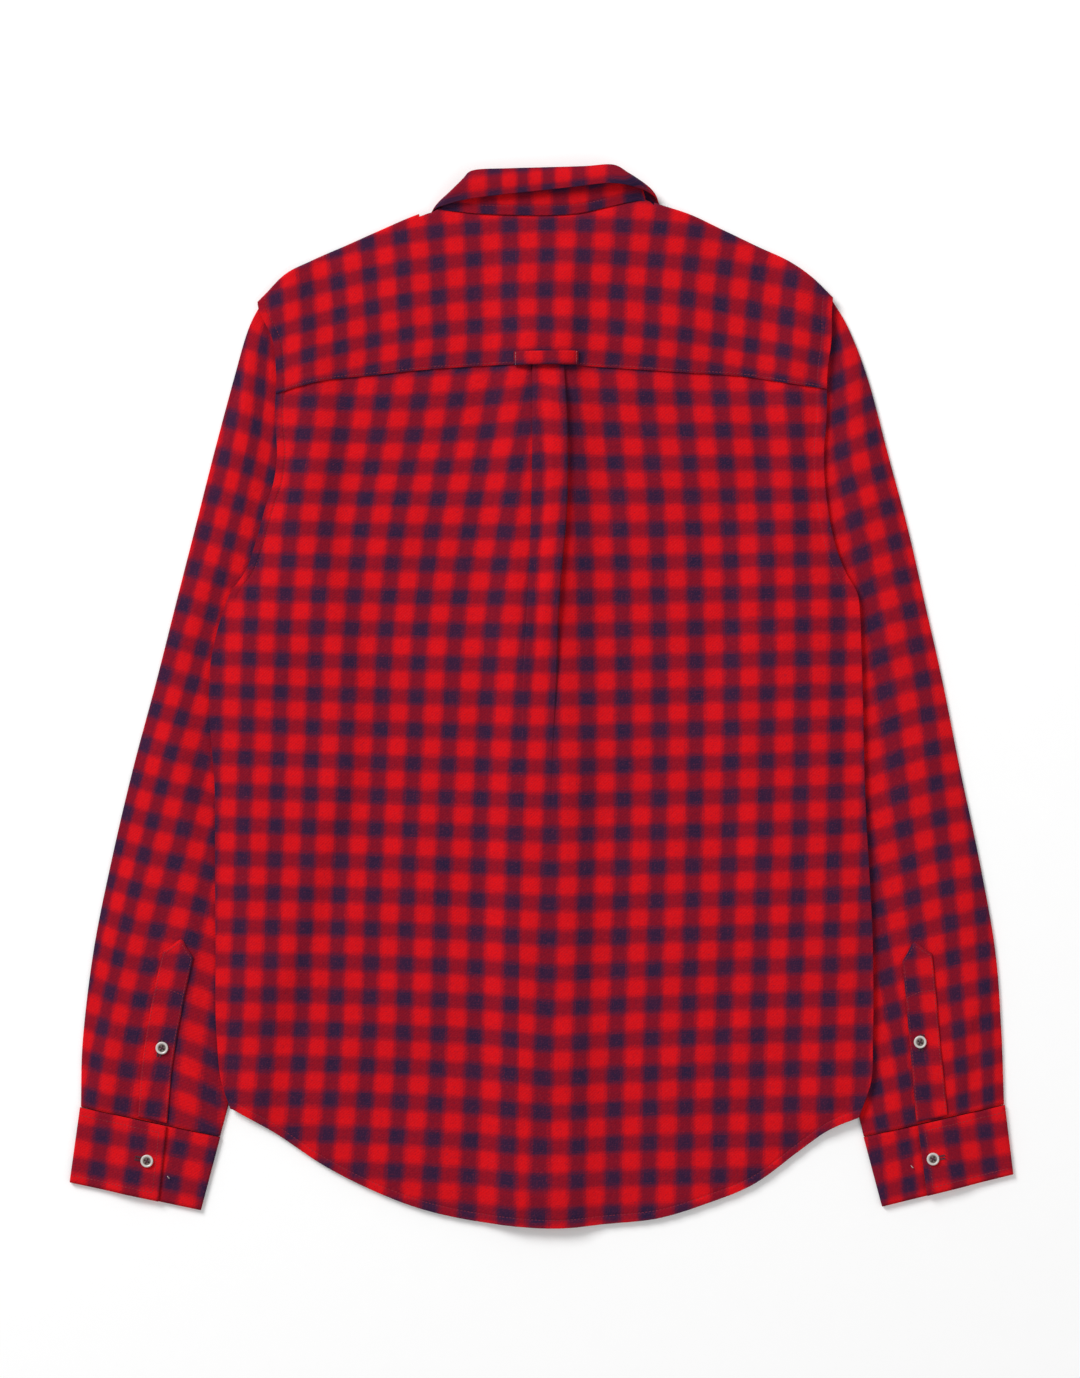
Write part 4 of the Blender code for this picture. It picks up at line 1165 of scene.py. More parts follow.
# ---------------------------------------------------------------- finishes


def by_maths(operation, swapped=False):
    """A method of Signal that adds a Math node."""

    def method(self, *others):
        values = (*others, self) if swapped else (self, *others)
        return Finish.node(self.tree, "ShaderNodeMath", dict(operation=operation), dict(enumerate(values)))

    return method


class Signal:
    """A shader socket that Python's own operators work on, each one adding a Math node."""

    def __init__(self, tree, socket):
        self.tree, self.socket = tree, socket

    __add__ = __radd__ = by_maths("ADD")
    __sub__, __rsub__ = by_maths("SUBTRACT"), by_maths("SUBTRACT", swapped=True)
    __mul__ = __rmul__ = by_maths("MULTIPLY")
    __truediv__ = by_maths("DIVIDE")
    __pow__ = by_maths("POWER")
    __mod__ = by_maths("FLOORED_MODULO")
    __abs__ = by_maths("ABSOLUTE")

    def ramp(self, low, high):
        """0 up to `low`, 1 from `high`, and a soft step between them."""
        settings = dict(interpolation_type="SMOOTHSTEP")
        return Finish.node(self.tree, "ShaderNodeMapRange", settings, {0: self, 1: low, 2: high})


class Finish:
    """A material and the calls that add nodes to it."""

    def __init__(self, name, roughness, **constants):
        self.material = bpy.data.materials.new(name)
        self.material.use_nodes = True
        self.tree = self.material.node_tree
        self.shader = self.tree.nodes["Principled BSDF"]
        self.shader.inputs["Roughness"].default_value = roughness
        for socket, value in constants.items():
            self.shader.inputs[socket.replace("_", " ")].default_value = value

    @staticmethod
    def node(tree, kind, settings=None, sockets=None, output=0):
        made = tree.nodes.new(kind)
        for name, value in (settings or {}).items():
            setattr(made, name, value)
        for name, value in (sockets or {}).items():
            if isinstance(value, Signal):
                tree.links.new(value.socket, made.inputs[name])
            else:
                made.inputs[name].default_value = value
        return Signal(tree, made.outputs[output])

    def add(self, kind, settings=None, sockets=None, output=0):
        return Finish.node(self.tree, kind, settings, sockets, output)

    def mix(self, share, first, second):
        """A colour between two colours."""
        first, second = (shade if isinstance(shade, Signal) else (*shade, 1) for shade in (first, second))
        return self.add("ShaderNodeMix", dict(data_type="RGBA"), {0: share, 6: first, 7: second}, output=2)

    def axes(self, vector):
        """The three parts of a vector."""
        split = self.add("ShaderNodeSeparateXYZ", None, {0: vector}).socket.node
        return [Signal(self.tree, socket) for socket in split.outputs]

    def noise(self, vector, scale, detail=2.0, roughness=0.5):
        """Clouds of one size, or drawn out along an axis where `scale` has one size for each axis."""
        if isinstance(scale, tuple):
            vector = self.add("ShaderNodeVectorMath", dict(operation="MULTIPLY"), {0: vector, 1: scale})
            scale = 1.0
        sockets = {"Vector": vector, "Scale": scale, "Detail": detail, "Roughness": roughness}
        return self.add("ShaderNodeTexNoise", None, sockets)

    def bump(self, height, strength, distance, under=None):
        sockets = {"Height": height, "Strength": strength, "Distance": distance}
        if under is not None:
            sockets["Normal"] = under
        return self.add("ShaderNodeBump", None, sockets)

    def wire(self, **sockets):
        for name, signal in sockets.items():
            self.tree.links.new(signal.socket, self.shader.inputs[name.replace("_", " ")])
        return self.material


BAND_CORE, BAND_EDGE, WEFT_SHARE = 0.115, 0.375, 0.86
YARNS, TWILL_SLOPE, TWILL_YARNS, TWILL_BLUR = 40.0, 1.0, 4.0, (0.2, 0.8)
TWILL_STRAY, STRAY_SHIFT = 0.2, 0.16
# How often each noise repeats in one repeat of the check; rises are in metres.
DYE_PATCHES, CLOUDS, SOFT_WAVES = 7.0, 1.3, 5.0
NAP_FUZZ = (30.0, 30.0, 1.0)
WARP_YARNS, WEFT_YARNS = (24.0, 1.1, 1.0), (1.1, 24.0, 1.0)
WARP_FIBRES, WEFT_FIBRES = (46.0, 9.0, 1.0), (9.0, 46.0, 1.0)
DYE_SLIP = 0.07
STREAK_SHIFT, STREAK_DEPTH, STREAK_IN_FIBRE = 0.22, 0.45, 0.15
LIGHT_FIBRES, LIGHT_SHARE = (0.50, 0.68), 0.36
DARK_FIBRES, DARK_SHARE = (0.50, 0.34), 0.9
CLOUD_DEPTH, CLOUD_TINT = 0.30, 0.06
YARN_RELIEF, FUZZ_RELIEF, FIBRE_RELIEF, NAP_RISE = 0.5, 0.7, 0.6, 0.0004
SOFT_STRENGTH, SOFT_RISE = 0.35, 0.0012
CLOTH_ROUGHNESS, FUZZ_ROUGHNESS = 0.86, 0.12
NAP_SHINE = dict(Sheen_Roughness=0.45, Specular_IOR_Level=0.1)


def flannel(settings):
    """Brushed check: dark bands both ways in the yarns, twill lines, heather and a soft nap."""
    finish = Finish("flannel", roughness=CLOTH_ROUGHNESS, Sheen_Weight=settings.nap_sheen, **NAP_SHINE)
    check = finish.add("ShaderNodeUVMap", dict(uv_map="cloth"))
    # The dye wanders a little into the next yarns, so that no band has a ruled edge.
    slip = (finish.noise(check, DYE_PATCHES, detail=3.0, roughness=0.6) - 0.5) * DYE_SLIP
    u, v, _ = finish.axes(check)
    from_u, from_v = (abs((along + 0.5) % 1.0 - 0.5) for along in (u + slip, v - slip))
    # Warp and weft yarns each have their own depth of dye, seen as fine streaks along them.
    warp_yarn = finish.noise(check, WARP_YARNS, roughness=0.7) - 0.5
    weft_yarn = finish.noise(check, WEFT_YARNS, roughness=0.7) - 0.5
    # Which yarn lies on top follows the twill, and the nap blurs it.
    diagonal = (u * YARNS + v * (YARNS * TWILL_SLOPE)) % TWILL_YARNS
    on_top = (abs(diagonal - TWILL_YARNS / 2) / (TWILL_YARNS / 2)).ramp(*TWILL_BLUR)
    fuzz = finish.noise(check, NAP_FUZZ, detail=3.0, roughness=0.8)
    stray = (on_top - 0.5) * TWILL_STRAY + (fuzz - 0.5) * settings.heather
    dark_u = 1 - (from_u + warp_yarn * STREAK_SHIFT - stray * STRAY_SHIFT).ramp(BAND_CORE, BAND_EDGE)
    dark_v = 1 - (from_v + weft_yarn * STREAK_SHIFT + stray * STRAY_SHIFT).ramp(BAND_CORE, BAND_EDGE)
    half = 1 - (1 - dark_u) * (1 - dark_v * WEFT_SHARE)
    colour = finish.mix(half + (warp_yarn + weft_yarn) * STREAK_DEPTH, settings.red, settings.maroon)
    colour = finish.mix(dark_u * dark_v, colour, settings.navy)
    # Heather: single fibres of lighter and darker dye, drawn out along the yarns.
    fibres = finish.noise(check, WARP_FIBRES, roughness=0.6) + finish.noise(check, WEFT_FIBRES, roughness=0.6)
    fibre = fibres * 0.5 + (warp_yarn + weft_yarn) * STREAK_IN_FIBRE
    colour = finish.mix(fibre.ramp(*LIGHT_FIBRES) * LIGHT_SHARE * settings.heather, colour, settings.fibre)
    colour = finish.mix(fibre.ramp(*DARK_FIBRES) * DARK_SHARE * settings.heather, colour, settings.navy)
    cloud = finish.noise(check, CLOUDS, detail=3.0, roughness=0.55)
    colour = finish.mix((cloud - 0.5) * CLOUD_DEPTH + CLOUD_TINT, colour, settings.maroon)
    relief = on_top * YARN_RELIEF + fuzz * FUZZ_RELIEF + fibre * FIBRE_RELIEF
    weave = finish.bump(relief, settings.nap_depth, NAP_RISE)
    soft = finish.bump(finish.noise(check, SOFT_WAVES, detail=3.0), SOFT_STRENGTH, SOFT_RISE, weave)
    return finish.wire(Base_Color=colour, Roughness=CLOTH_ROUGHNESS + fuzz * FUZZ_ROUGHNESS, Normal=soft)


THREAD_TWIST, TWIST_STEP, TWIST_STRENGTH, TWIST_RISE = 2600.0, (0.3, 0.7), 0.4, 0.0002
TONE_SIZE, TONE_STEP, TONE_SHARE, TONE_BASE, NAVY_SHARE = 90.0, (0.35, 0.65), 0.3, 0.7, 0.35
DARK_THREAD, RIM_SHADE, MIDDLE_SHADE, FLOOR_SHADE = 0.5, 0.8, 1.5, 0.985


def times(shade, share):
    """A colour made darker or lighter."""
    return tuple(share * value for value in shade)


class ThreadFinish(Finish):
    """Twisted sewing thread; its colours are mixed along its strands."""

    def __init__(self, name, roughness):
        super().__init__(name, roughness, Specular_IOR_Level=0.3, Sheen_Weight=0.2)
        self.place = self.add("ShaderNodeTexCoord", output=3)
        self.twist = self.noise(self.place, THREAD_TWIST)
        self.strands = self.twist.ramp(*TWIST_STEP)

    def coloured(self, share, first, second):
        normal = self.bump(self.twist, TWIST_STRENGTH, TWIST_RISE)
        return self.wire(Base_Color=self.mix(share, first, second), Normal=normal)


def thread(settings):
    """Thread of the seams, tinted to the cloth."""
    finish = ThreadFinish("thread", roughness=0.6)
    tone = finish.noise(finish.place, TONE_SIZE).ramp(*TONE_STEP) * TONE_SHARE + TONE_BASE
    ground = finish.mix(tone, settings.red, settings.maroon)
    return finish.coloured(finish.strands * NAVY_SHARE, ground, settings.navy)


def dark_thread(settings):
    """The thread that holds the buttons and edges the buttonholes."""
    finish = ThreadFinish("dark_thread", roughness=0.65)
    return finish.coloured(finish.strands, times(settings.maroon, DARK_THREAD), settings.navy)


def pale_thread(settings):
    """Light thread: the tacks of the loop, and small pale specks by the cuff buttons, a painted glint of
    spare buttons mostly hidden there.
    """
    finish = ThreadFinish("pale_thread", roughness=0.6)
    return finish.coloured(finish.strands, bpy.context.scene.shirt_buttons.rim, settings.maroon)


SHELL_CLOUDS, SHELL_GRAIN, FLOOR_GRAIN = 2.4, (3.0, 14.0, 1.0), 60.0
RIM_START, RIM_WANDER, RIM_CLOUD = (0.58, 0.7), 0.08, 0.5
SHELL_ROUGHNESS, GRAIN_ROUGHNESS, GRAIN_STRENGTH, GRAIN_RISE = 0.22, 0.2, 0.08, 0.0002


def button_shell(settings):
    """Moulded button: a pale polished rim, a darker dished middle and faint clouds like shell."""
    finish = Finish("button_shell", roughness=0.3, Coat_Weight=0.35, Coat_Roughness=0.15)
    place = finish.add("ShaderNodeUVMap", dict(uv_map="face"))
    u, v, _ = finish.axes(place)
    out = (u * u + v * v) ** 0.5
    cloud = finish.noise(place, SHELL_CLOUDS, detail=3.0, roughness=0.6)
    grain = finish.noise(place, SHELL_GRAIN, detail=3.0, roughness=0.6)
    rim = finish.mix(cloud * RIM_CLOUD, settings.rim, times(settings.rim, RIM_SHADE))
    middle = finish.mix(grain, settings.middle, times(settings.middle, MIDDLE_SHADE))
    colour = finish.mix((out + (cloud - 0.5) * RIM_WANDER).ramp(*RIM_START), middle, rim)
    rough, normal = SHELL_ROUGHNESS + grain * GRAIN_ROUGHNESS, finish.bump(grain, GRAIN_STRENGTH, GRAIN_RISE)
    return finish.wire(Base_Color=colour, Roughness=rough, Normal=normal)


def floor_paper(settings):
    """The plain pale sheet the shirt is laid on."""
    finish = Finish("floor_paper", roughness=0.9, Specular_IOR_Level=0.1, Emission_Strength=0.045)
    place = finish.add("ShaderNodeTexCoord", output=3)
    grain = finish.noise(place, FLOOR_GRAIN, detail=3.0, roughness=0.6)
    return finish.wire(Base_Color=finish.mix(grain, times(settings.floor, FLOOR_SHADE), settings.floor))


# ---------------------------------------------------------------- the shirt's pieces


def edge_shares(width, fine, steps, last=1.0):
    """Shares of a width: a point each millimetre or so beside its edge, then even steps."""
    start = np.array(fine, float) / width
    return np.concatenate([start, np.linspace(start[-1], last, steps)[1:]])


PANEL_WIDTH, PANEL_LENGTH, PANEL_END = 235.0, 645.0, 0.985
BACK_COLUMNS, BACK_STEPS = 66, 190
PLEAT_LIFT, PLEAT_LIFT_LOW, PLEAT_LIFT_HIGH = 0.9, (40, -40), (222, 240)
YOKE_LENGTH, YOKE_EDGE, YOKE_STEPS = 110.0, (0, 0.6, 1.2, 1.6, 2.2, 3, 4, 5.5), 44
FRONT_WIDTH, FRONT_LENGTH, FRONT_COLUMNS, FRONT_STEPS = 260.0, 690.0, 60, 120
LOOP_FINER, BAND_FINER, GAUNTLET_FINER = (4, 5), (4, 8), (8, 5)


def make_back(settings, look):
    shares = edge_shares(PANEL_WIDTH, FINE_EDGE, BACK_COLUMNS, PANEL_END)
    rows = 1 - edge_shares(PANEL_LENGTH, FINE_EDGE, BACK_STEPS)[::-1]
    grid = back_grid(shares, rows)
    first = len(shares)
    last = grid.shape[1] - 1 - first
    check = back_check(grid, first, last)
    fold = slice((first + last) // 2, last + 1)
    x, y = grid[:, fold, 0], grid[:, fold, 1]
    lift = PLEAT_LIFT * fade(y, *PLEAT_LIFT_LOW) * fade(y, *PLEAT_LIFT_HIGH) * settings.fold_strength
    grid[:, fold, 2] += (grid[:, fold, 2] - back_level(x, y)) * lift
    grid[..., 2] += back_relief(grid[..., 0], grid[..., 1], settings.fold_strength)
    piece = settle(cloth("back_cloth", grid, check, look), "back_panel")


def continued(check, grid, start):
    """Carries V on round a fold, from row `start` of the grid."""
    for row in range(start, len(grid)):
        step = np.linalg.norm(grid[row] - grid[row - 1], axis=-1)
        check[row, :, 0] = check[row - 1, :, 0]
        check[row, :, 1] = check[row - 1, :, 1] - step / REPEAT_Y
    return check


def laid_loop():
    """The hanging loop on the yoke's relief."""
    grid = finer(loop_grid(), *LOOP_FINER)
    grid[..., 2] += yoke_relief(grid[..., 0], grid[..., 1])
    return grid


def make_yoke(settings, look):
    rows = 1 - edge_shares(YOKE_LENGTH, YOKE_EDGE, YOKE_STEPS)
    grid = yoke_grid(rows)
    x, y = grid[: len(rows), :, 0], grid[: len(rows), :, 1]
    check = np.zeros((*grid.shape[:2], 2))
    check[: len(rows)] = check_from(YOKE_CHECK, YOKE_CHECK_X, x, y)
    check = continued(check, grid, len(rows))
    grid[: len(rows), :, 2] += yoke_relief(x, y)
    keep = np.ones((grid.shape[0] - 1, grid.shape[1] - 1), bool)
    keep[len(rows) - 1 :, YOKE_SIDE_COLUMNS - 1 : -(YOKE_SIDE_COLUMNS - 1)] = False
    piece = settle(cloth("yoke_cloth", grid, check, look, keep=keep), "yoke")

    grid = laid_loop()
    check = patch_check(LOOP_PATCH, grid[..., 0], grid[..., 1])
    piece = settle(cloth("loop_cloth", grid, check, look), "hanging_loop")


def make_fronts(settings, look):
    shares = edge_shares(FRONT_WIDTH, FINE_EDGE, FRONT_COLUMNS)
    rows = edge_shares(FRONT_LENGTH, FINE_EDGE, FRONT_STEPS)
    for side, name, area in ((-1, "left_front", 0.166), (1, "right_front", 0.170)):
        grid = front_grid(side, shares, rows)
        check = plain_check(grid[..., 0], grid[..., 1], 0.5)
        piece = settle(cloth(f"{name}_cloth", grid, check, look), name)
    grid = finer(band_grid(), *BAND_FINER)
    piece = settle(cloth("band_cloth", grid, plain_check(grid[..., 0], grid[..., 1]), look), "front_band")


COLLAR_COLUMNS, STAND_ROWS, LEAF_ROWS = 330, 46, 36
COLLAR_BACK = 0.16
COLLAR_BACK_X, COLLAR_BACK_Y = (62, 76), (356, 350)
STAND_REPEAT_X, LEAF_REPEAT_X = 27.0, 26.3
STAND_STITCH, STAND_GROOVE = 6.8, 0.45
LEAF_END_SHIFT, LEAF_END_X = 0.3, (75, 60)
LEAF_LIFT_LEFT, LEAF_LIFT_RIGHT, LEAF_LIFT_WIDTH, LEAF_LIFT_X = 0.8, 2.0, 7.0, (-50, 20)


def at_back(x, y):
    """1 on the collar over the back of the neck and 0 round its sides."""
    return fade(np.abs(x), *COLLAR_BACK_X) * fade(y, *COLLAR_BACK_Y)


def column_check(x, places, lengths, repeat):
    """U from the dark columns over the back of the neck, and by length round the sides of it."""
    nearest = np.clip(x, places[0], places[-1])
    counted = smooth(places, np.arange(len(places), dtype=float), nearest)
    middle = np.abs(np.arange(len(lengths)) / (len(lengths) - 1) - 0.5) < COLLAR_BACK
    first, last = np.flatnonzero(middle)[[0, -1]]
    before, after = lengths[first] - lengths, lengths - lengths[last]
    held = np.clip(np.arange(len(lengths)), first, last)
    return counted[..., held] + (np.maximum(after, 0) - np.maximum(before, 0)) / repeat


def square_to(line, grid):
    """How far the points of a grid's columns lie from a line along the grid, square to it."""
    along = np.gradient(line, axis=0)
    along /= np.linalg.norm(along, axis=1)[:, None]
    offset = grid - line
    slid = (offset * along).sum(-1)
    return np.sqrt(np.maximum((offset**2).sum(-1) - slid**2, 0))


def make_collar(settings, look):
    stations = np.linspace(0, len(COLLAR["turn"]) - 1, COLLAR_COLUMNS)
    grid = stand_grid(stations, STAND_ROWS)
    x, y = grid[..., 0], grid[..., 1]
    from_seam = np.linalg.norm(grid - grid[:1], axis=-1)
    columns = column_check(x, STAND_CHECK_X, along_line(grid[0]), STAND_REPEAT_X)
    check = np.stack([columns, (STAND_ROW - from_seam) / STAND_REPEAT_Y], -1)
    grid[..., 2] -= STAND_GROOVE * np.exp(-((from_seam - STAND_STITCH) ** 2)) * at_back(x, y)
    piece = settle(cloth("stand_cloth", grid, check, look), "collar_stand")

    stations = np.linspace(LEAF_FIRST, LEAF_LAST, COLLAR_COLUMNS)
    grid = leaf_grid(stations, LEAF_ROWS)
    x, y = grid[..., 0], grid[..., 1]
    from_edge = square_to(grid[-1], grid)
    columns = column_check(x, LEAF_CHECK_X, along_line(grid[-1]), LEAF_REPEAT_X)
    check = np.stack([columns, LEAF_END_SHIFT * fade(x, *LEAF_END_X) - from_edge / LEAF_REPEAT_Y], -1)
    lift = LEAF_LIFT_RIGHT + (LEAF_LIFT_LEFT - LEAF_LIFT_RIGHT) * fade(x, *LEAF_LIFT_X)
    grid[..., 2] += lift * at_back(x, y) * np.exp(-from_edge / LEAF_LIFT_WIDTH)
    piece = settle(cloth("leaf_cloth", grid, check, look, even=False), "collar_leaf")


SLEEVE_RINGS, SLEEVE_PER_SIDE = 205, 42
EDGE_SPARE, CUFF_SPARE = 0.4, 10


def near_button(x, y):
    """1 on a sleeve button's place and 0 away from it."""
    near = np.zeros(np.shape(x))
    for _, button_x, button_y, _ in SLEEVE_BUTTONS:
        near = np.maximum(near, fade(np.hypot(x - button_x, y - button_y), *BUTTON_HOLDS))
    return near


def sleeve_top_relief(side, sleeve, x, y):
    """What a sleeve's upper wall rises above its plain form."""
    outer_x = carried(sleeve["outer_y"], sleeve["outer_x"], y)
    inner_x = carried(sleeve["inner_y"], sleeve["inner_x"], y)
    edges = np.minimum(np.abs(x - outer_x), np.abs(x - inner_x)) + EDGE_SPARE
    which = max(side, 0)
    from_cuff = y - (CUFF["outer_top_y"][which] + CUFF["inner_top_y"][which]) / 2 + CUFF_SPARE
    return sleeve_relief(x, y, edges) * fade(from_cuff, *LOOSE_FROM_CUFF) * (1 - near_button(x, y))


def make_sleeves(settings, look):
    count, corners = SLEEVE_PER_SIDE, len(CORNER_ANGLES)
    for side, name, sleeve, rows in (
        (-1, "left", LEFT_SLEEVE, LEFT_SLEEVE_CHECK),
        (1, "right", RIGHT_SLEEVE, RIGHT_SLEEVE_CHECK),
    ):
        grid = sleeve_rings(sleeve, np.linspace(0, 1, SLEEVE_RINGS), count)
        x, y = grid[..., 0], grid[..., 1]
        outer_x = carried(sleeve["outer_y"], sleeve["outer_x"], y)
        inward = np.maximum((outer_x - x) * side, -1.0)
        check = check_from(rows, SLEEVE_CHECK_IN, inward, y)
        fold = check_from(rows, SLEEVE_CHECK_IN, np.zeros(np.shape(y)), y)
        upper = np.zeros(grid.shape[1], bool)
        upper[count + corners // 2 + 1 : 2 * (count + corners) - corners // 2] = True
        check[:, ~upper, 0] = 2 * fold[:, ~upper, 0] - check[:, ~upper, 0]
        top = slice(count + corners, 2 * count + corners)
        grid[:, top, 2] += sleeve_top_relief(side, sleeve, x[:, top], y[:, top])
        piece = settle(cloth(f"{name}_sleeve_cloth", grid, check, look, ring=True), f"{name}_sleeve")


def laid_gauntlet(side, sleeve):
    """A placket strip on its sleeve's relief."""
    grid = finer(gauntlet_grid(side, sleeve), *GAUNTLET_FINER)
    grid[..., 2] += sleeve_top_relief(side, sleeve, grid[..., 0], grid[..., 1])
    return grid


def round_cuff(lap, under):
    """A cuff's check: the lap's is turned back at the outer fold and runs into that of the end below it."""
    place = np.arange(lap.shape[1])
    outer = LAP_POINTS + ARC_POINTS // 2
    inner = LAP_POINTS + ARC_POINTS + UNDER_POINTS + ARC_POINTS // 2
    check = lap.copy()
    check[:, outer:, 0] = 2 * lap[:, outer, None, 0] - lap[:, outer:, 0]
    miss = under[:, inner] - check[:, inner]
    whole = np.round(miss[0])
    share = np.clip((place - outer) / (inner - outer), 0, 1)[None, :, None]
    return np.where(place[None, :, None] > inner, under - whole, check + share * (miss - whole)[:, None])


def make_cuffs(settings, look):
    for index, side, name, sleeve in ((0, -1, "left", LEFT_SLEEVE), (1, 1, "right", RIGHT_SLEEVE)):
        cuff = row_of(CUFF, index)
        grid = cuff_grid(cuff)
        x, y = grid[..., 0], grid[..., 1]
        lap = patch_check((LEFT_LAP, RIGHT_LAP)[index], x, y)
        under = patch_check((LEFT_UNDERLAP, RIGHT_UNDERLAP)[index], x, y)
        check = round_cuff(lap, under)
        grid[:, :LAP_POINTS, 2] += cuff_relief(cuff, x[:, :LAP_POINTS], y[:, :LAP_POINTS])
        piece = settle(cloth(f"{name}_cuff_cloth", grid, check, look, wall=CUFF_WALL), f"{name}_cuff")

        grid = laid_gauntlet(side, sleeve)
        check = patch_check((LEFT_PLACKET, RIGHT_PLACKET)[index], grid[..., 0], grid[..., 1])
        piece = settle(cloth(f"{name}_placket_cloth", grid, check, look), f"{name}_gauntlet")


def cuff_relief(cuff, x, y):
    """Low waves and puckers on the upper side of a cuff."""
    run = np.array([cuff["outer_x"] - cuff["outer_top_x"], cuff["outer_y"] - cuff["outer_top_y"]])
    along = (x - cuff["outer_top_x"]) * run[0] + (y - cuff["outer_top_y"]) * run[1]
    from_top = along / np.linalg.norm(run)
    loose = CUFF_LIFT + CUFF_SWELL * swells(x * CUFF_SWELL_SCALE, y * CUFF_SWELL_SCALE)
    pucker = CUFF_GATHER_HEIGHT * gathers(x, np.abs(from_top), *CUFF_GATHERS)
    return never_below(loose, 0.0) * CUFF_LOOSE * (1 - near_button(x, y)) + pucker


# ---------------------------------------------------------------- sewing

UP = (0.0, 0.0, 1.0)
ON_TOP = WALL / 2


def run_on(surface, x, y):
    """A path on the upper face of a surface."""
    return np.stack([x, y, surface(x, y) + ON_TOP], -1)


STITCH_SHARE, LEAF_THREAD = 0.72, 0.8
YOKE_STITCH_Y, YOKE_STITCH_INSET, YOKE_STITCH_POINTS = 230.0, 4, 300
ARMHOLE_RUNS = ((back_surface, 80, 232, 90), (yoke_surface, 237, 300, 40))
HEM_STITCH_START, HEM_STITCH_END, HEM_STITCH_POINTS = -228, 234, 320
LEAF_STITCH_ENDS, LEAF_STITCH_POINTS, LEAF_STITCH_ROW = 6, 260, -8
STAND_STITCH_FIRST, STAND_STITCH_LAST, STAND_STITCH_POINTS = 8, 14.5, 200
GAUNTLET_BAR, CUFF_STITCH_ROW, CUFF_STITCH_COLUMN = -14, 2, 3
LOOP_TACK = dict(pitch=1.1, length=1.3, width=0.2)
TINY = 1e-9


def upward(first, second):
    """Unit directions out of a surface, from two directions on it, turned to point up."""
    out = np.cross(first, second)
    out = out / np.linalg.norm(out, axis=1)[:, None]
    return out * np.sign(out[:, 2:] + TINY)


def sew_body(row, look):
    """The yoke's seam, the armholes and the hem."""
    first, last = body_left(YOKE_STITCH_Y) + YOKE_STITCH_INSET, body_right(YOKE_STITCH_Y) - YOKE_STITCH_INSET
    x = np.linspace(first, last, YOKE_STITCH_POINTS)
    stitches("yoke_stitches", [row(run_on(yoke_surface, x, yoke_seam_y(x) + YOKE_STITCH))], look)

    runs = []
    for edge, inset in ((body_left, ARMHOLE_STITCH_LEFT), (body_right, -ARMHOLE_STITCH_RIGHT)):
        for surface, low, high, count in ARMHOLE_RUNS:
            y = np.linspace(low, high, count)
            runs.append(row(run_on(surface, edge(y) + inset, y)))
    stitches("armhole_stitches", runs, look)

    x = np.linspace(HEM_STITCH_START, HEM_STITCH_END, HEM_STITCH_POINTS)
    stitches("hem_stitches", [row(run_on(back_surface, x, hem_y(x) + HEM_DEPTH))], look)


def sew_collar(row, look, dark, leaf_width):
    """The leaf's edge, and the stand's lower seam at the back of the neck."""
    stations = np.linspace(LEAF_FIRST + LEAF_STITCH_ENDS, LEAF_LAST - LEAF_STITCH_ENDS, LEAF_STITCH_POINTS)
    above, line = leaf_grid(stations, LEAF_ROWS)[[LEAF_STITCH_ROW - 1, LEAF_STITCH_ROW]]
    out = upward(line - above, np.gradient(line, axis=0))
    stitches("leaf_stitches", [row(line + out * ON_TOP, out, width=leaf_width)], dark)

    stations = np.linspace(STAND_STITCH_FIRST, STAND_STITCH_LAST, STAND_STITCH_POINTS)
    grid = stand_grid(stations, STAND_ROWS)
    up_middle = np.linalg.norm(grid - grid[0], axis=-1)[:, STAND_STITCH_POINTS // 2]
    place = int(np.argmin(np.abs(up_middle - STAND_STITCH)))
    out = upward(np.gradient(grid[place], axis=0), grid[place + 1] - grid[place - 1])
    stitches("stand_stitches", [row(grid[place] + out * (ON_TOP - STAND_GROOVE), out)], look)


def sew_cuffs(row, look):
    """The placket strips' borders and bars, and the cuffs' edges."""
    runs = []
    for index, side, sleeve in ((0, -1, LEFT_SLEEVE), (1, 1, RIGHT_SLEEVE)):
        grid = laid_gauntlet(side, sleeve)
        grid[..., 2] += ON_TOP
        runs.append(row(np.concatenate([grid[:-1, 1], grid[-2, 2:-2], grid[:-1, -2][::-1]])))
        runs.append(row(grid[GAUNTLET_BAR, 1:-1]))
        cuff = row_of(CUFF, index)
        upper = cuff_grid(cuff)[:, :LAP_POINTS]
        upper[..., 2] += cuff_relief(cuff, upper[..., 0], upper[..., 1]) + CUFF_WALL / 2
        top, bottom = upper[CUFF_STITCH_ROW], upper[-CUFF_STITCH_ROW - 1]
        end = upper[CUFF_STITCH_ROW:-CUFF_STITCH_ROW, CUFF_STITCH_COLUMN]
        runs.append(row(np.concatenate([top[CUFF_STITCH_COLUMN:][::-1], end, bottom[CUFF_STITCH_COLUMN:]])))
    stitches("cuff_stitches", runs, look)


def make_stitching(settings, look, dark, pale):
    def row(path, up=UP, pitch=settings.stitch_pitch, length=None, width=settings.stitch_width):
        return stitch_run(path, up, pitch, length or settings.stitch_pitch * STITCH_SHARE, width)

    sew_body(row, look)
    sew_collar(row, look, dark, LEAF_THREAD * settings.stitch_width)
    sew_cuffs(row, look)
    grid = laid_loop()
    grid[..., 2] += ON_TOP
    stitches("loop_stitches", [row(grid[:, column], **LOOP_TACK) for column in (1, -2)], pale)
    make_buttonholes(dark, pale)


BUTTONHOLE_LENGTH, BUTTONHOLE_HALF, BUTTONHOLE_POINTS = 13.0, 1.1, 40
BUTTONHOLE_STITCH = dict(pitch=0.62, length=1.7, width=0.5)
SPECK = dict(pitch=3.4, length=3.2, width=0.8)
ACROSS_PITCH = 2.0
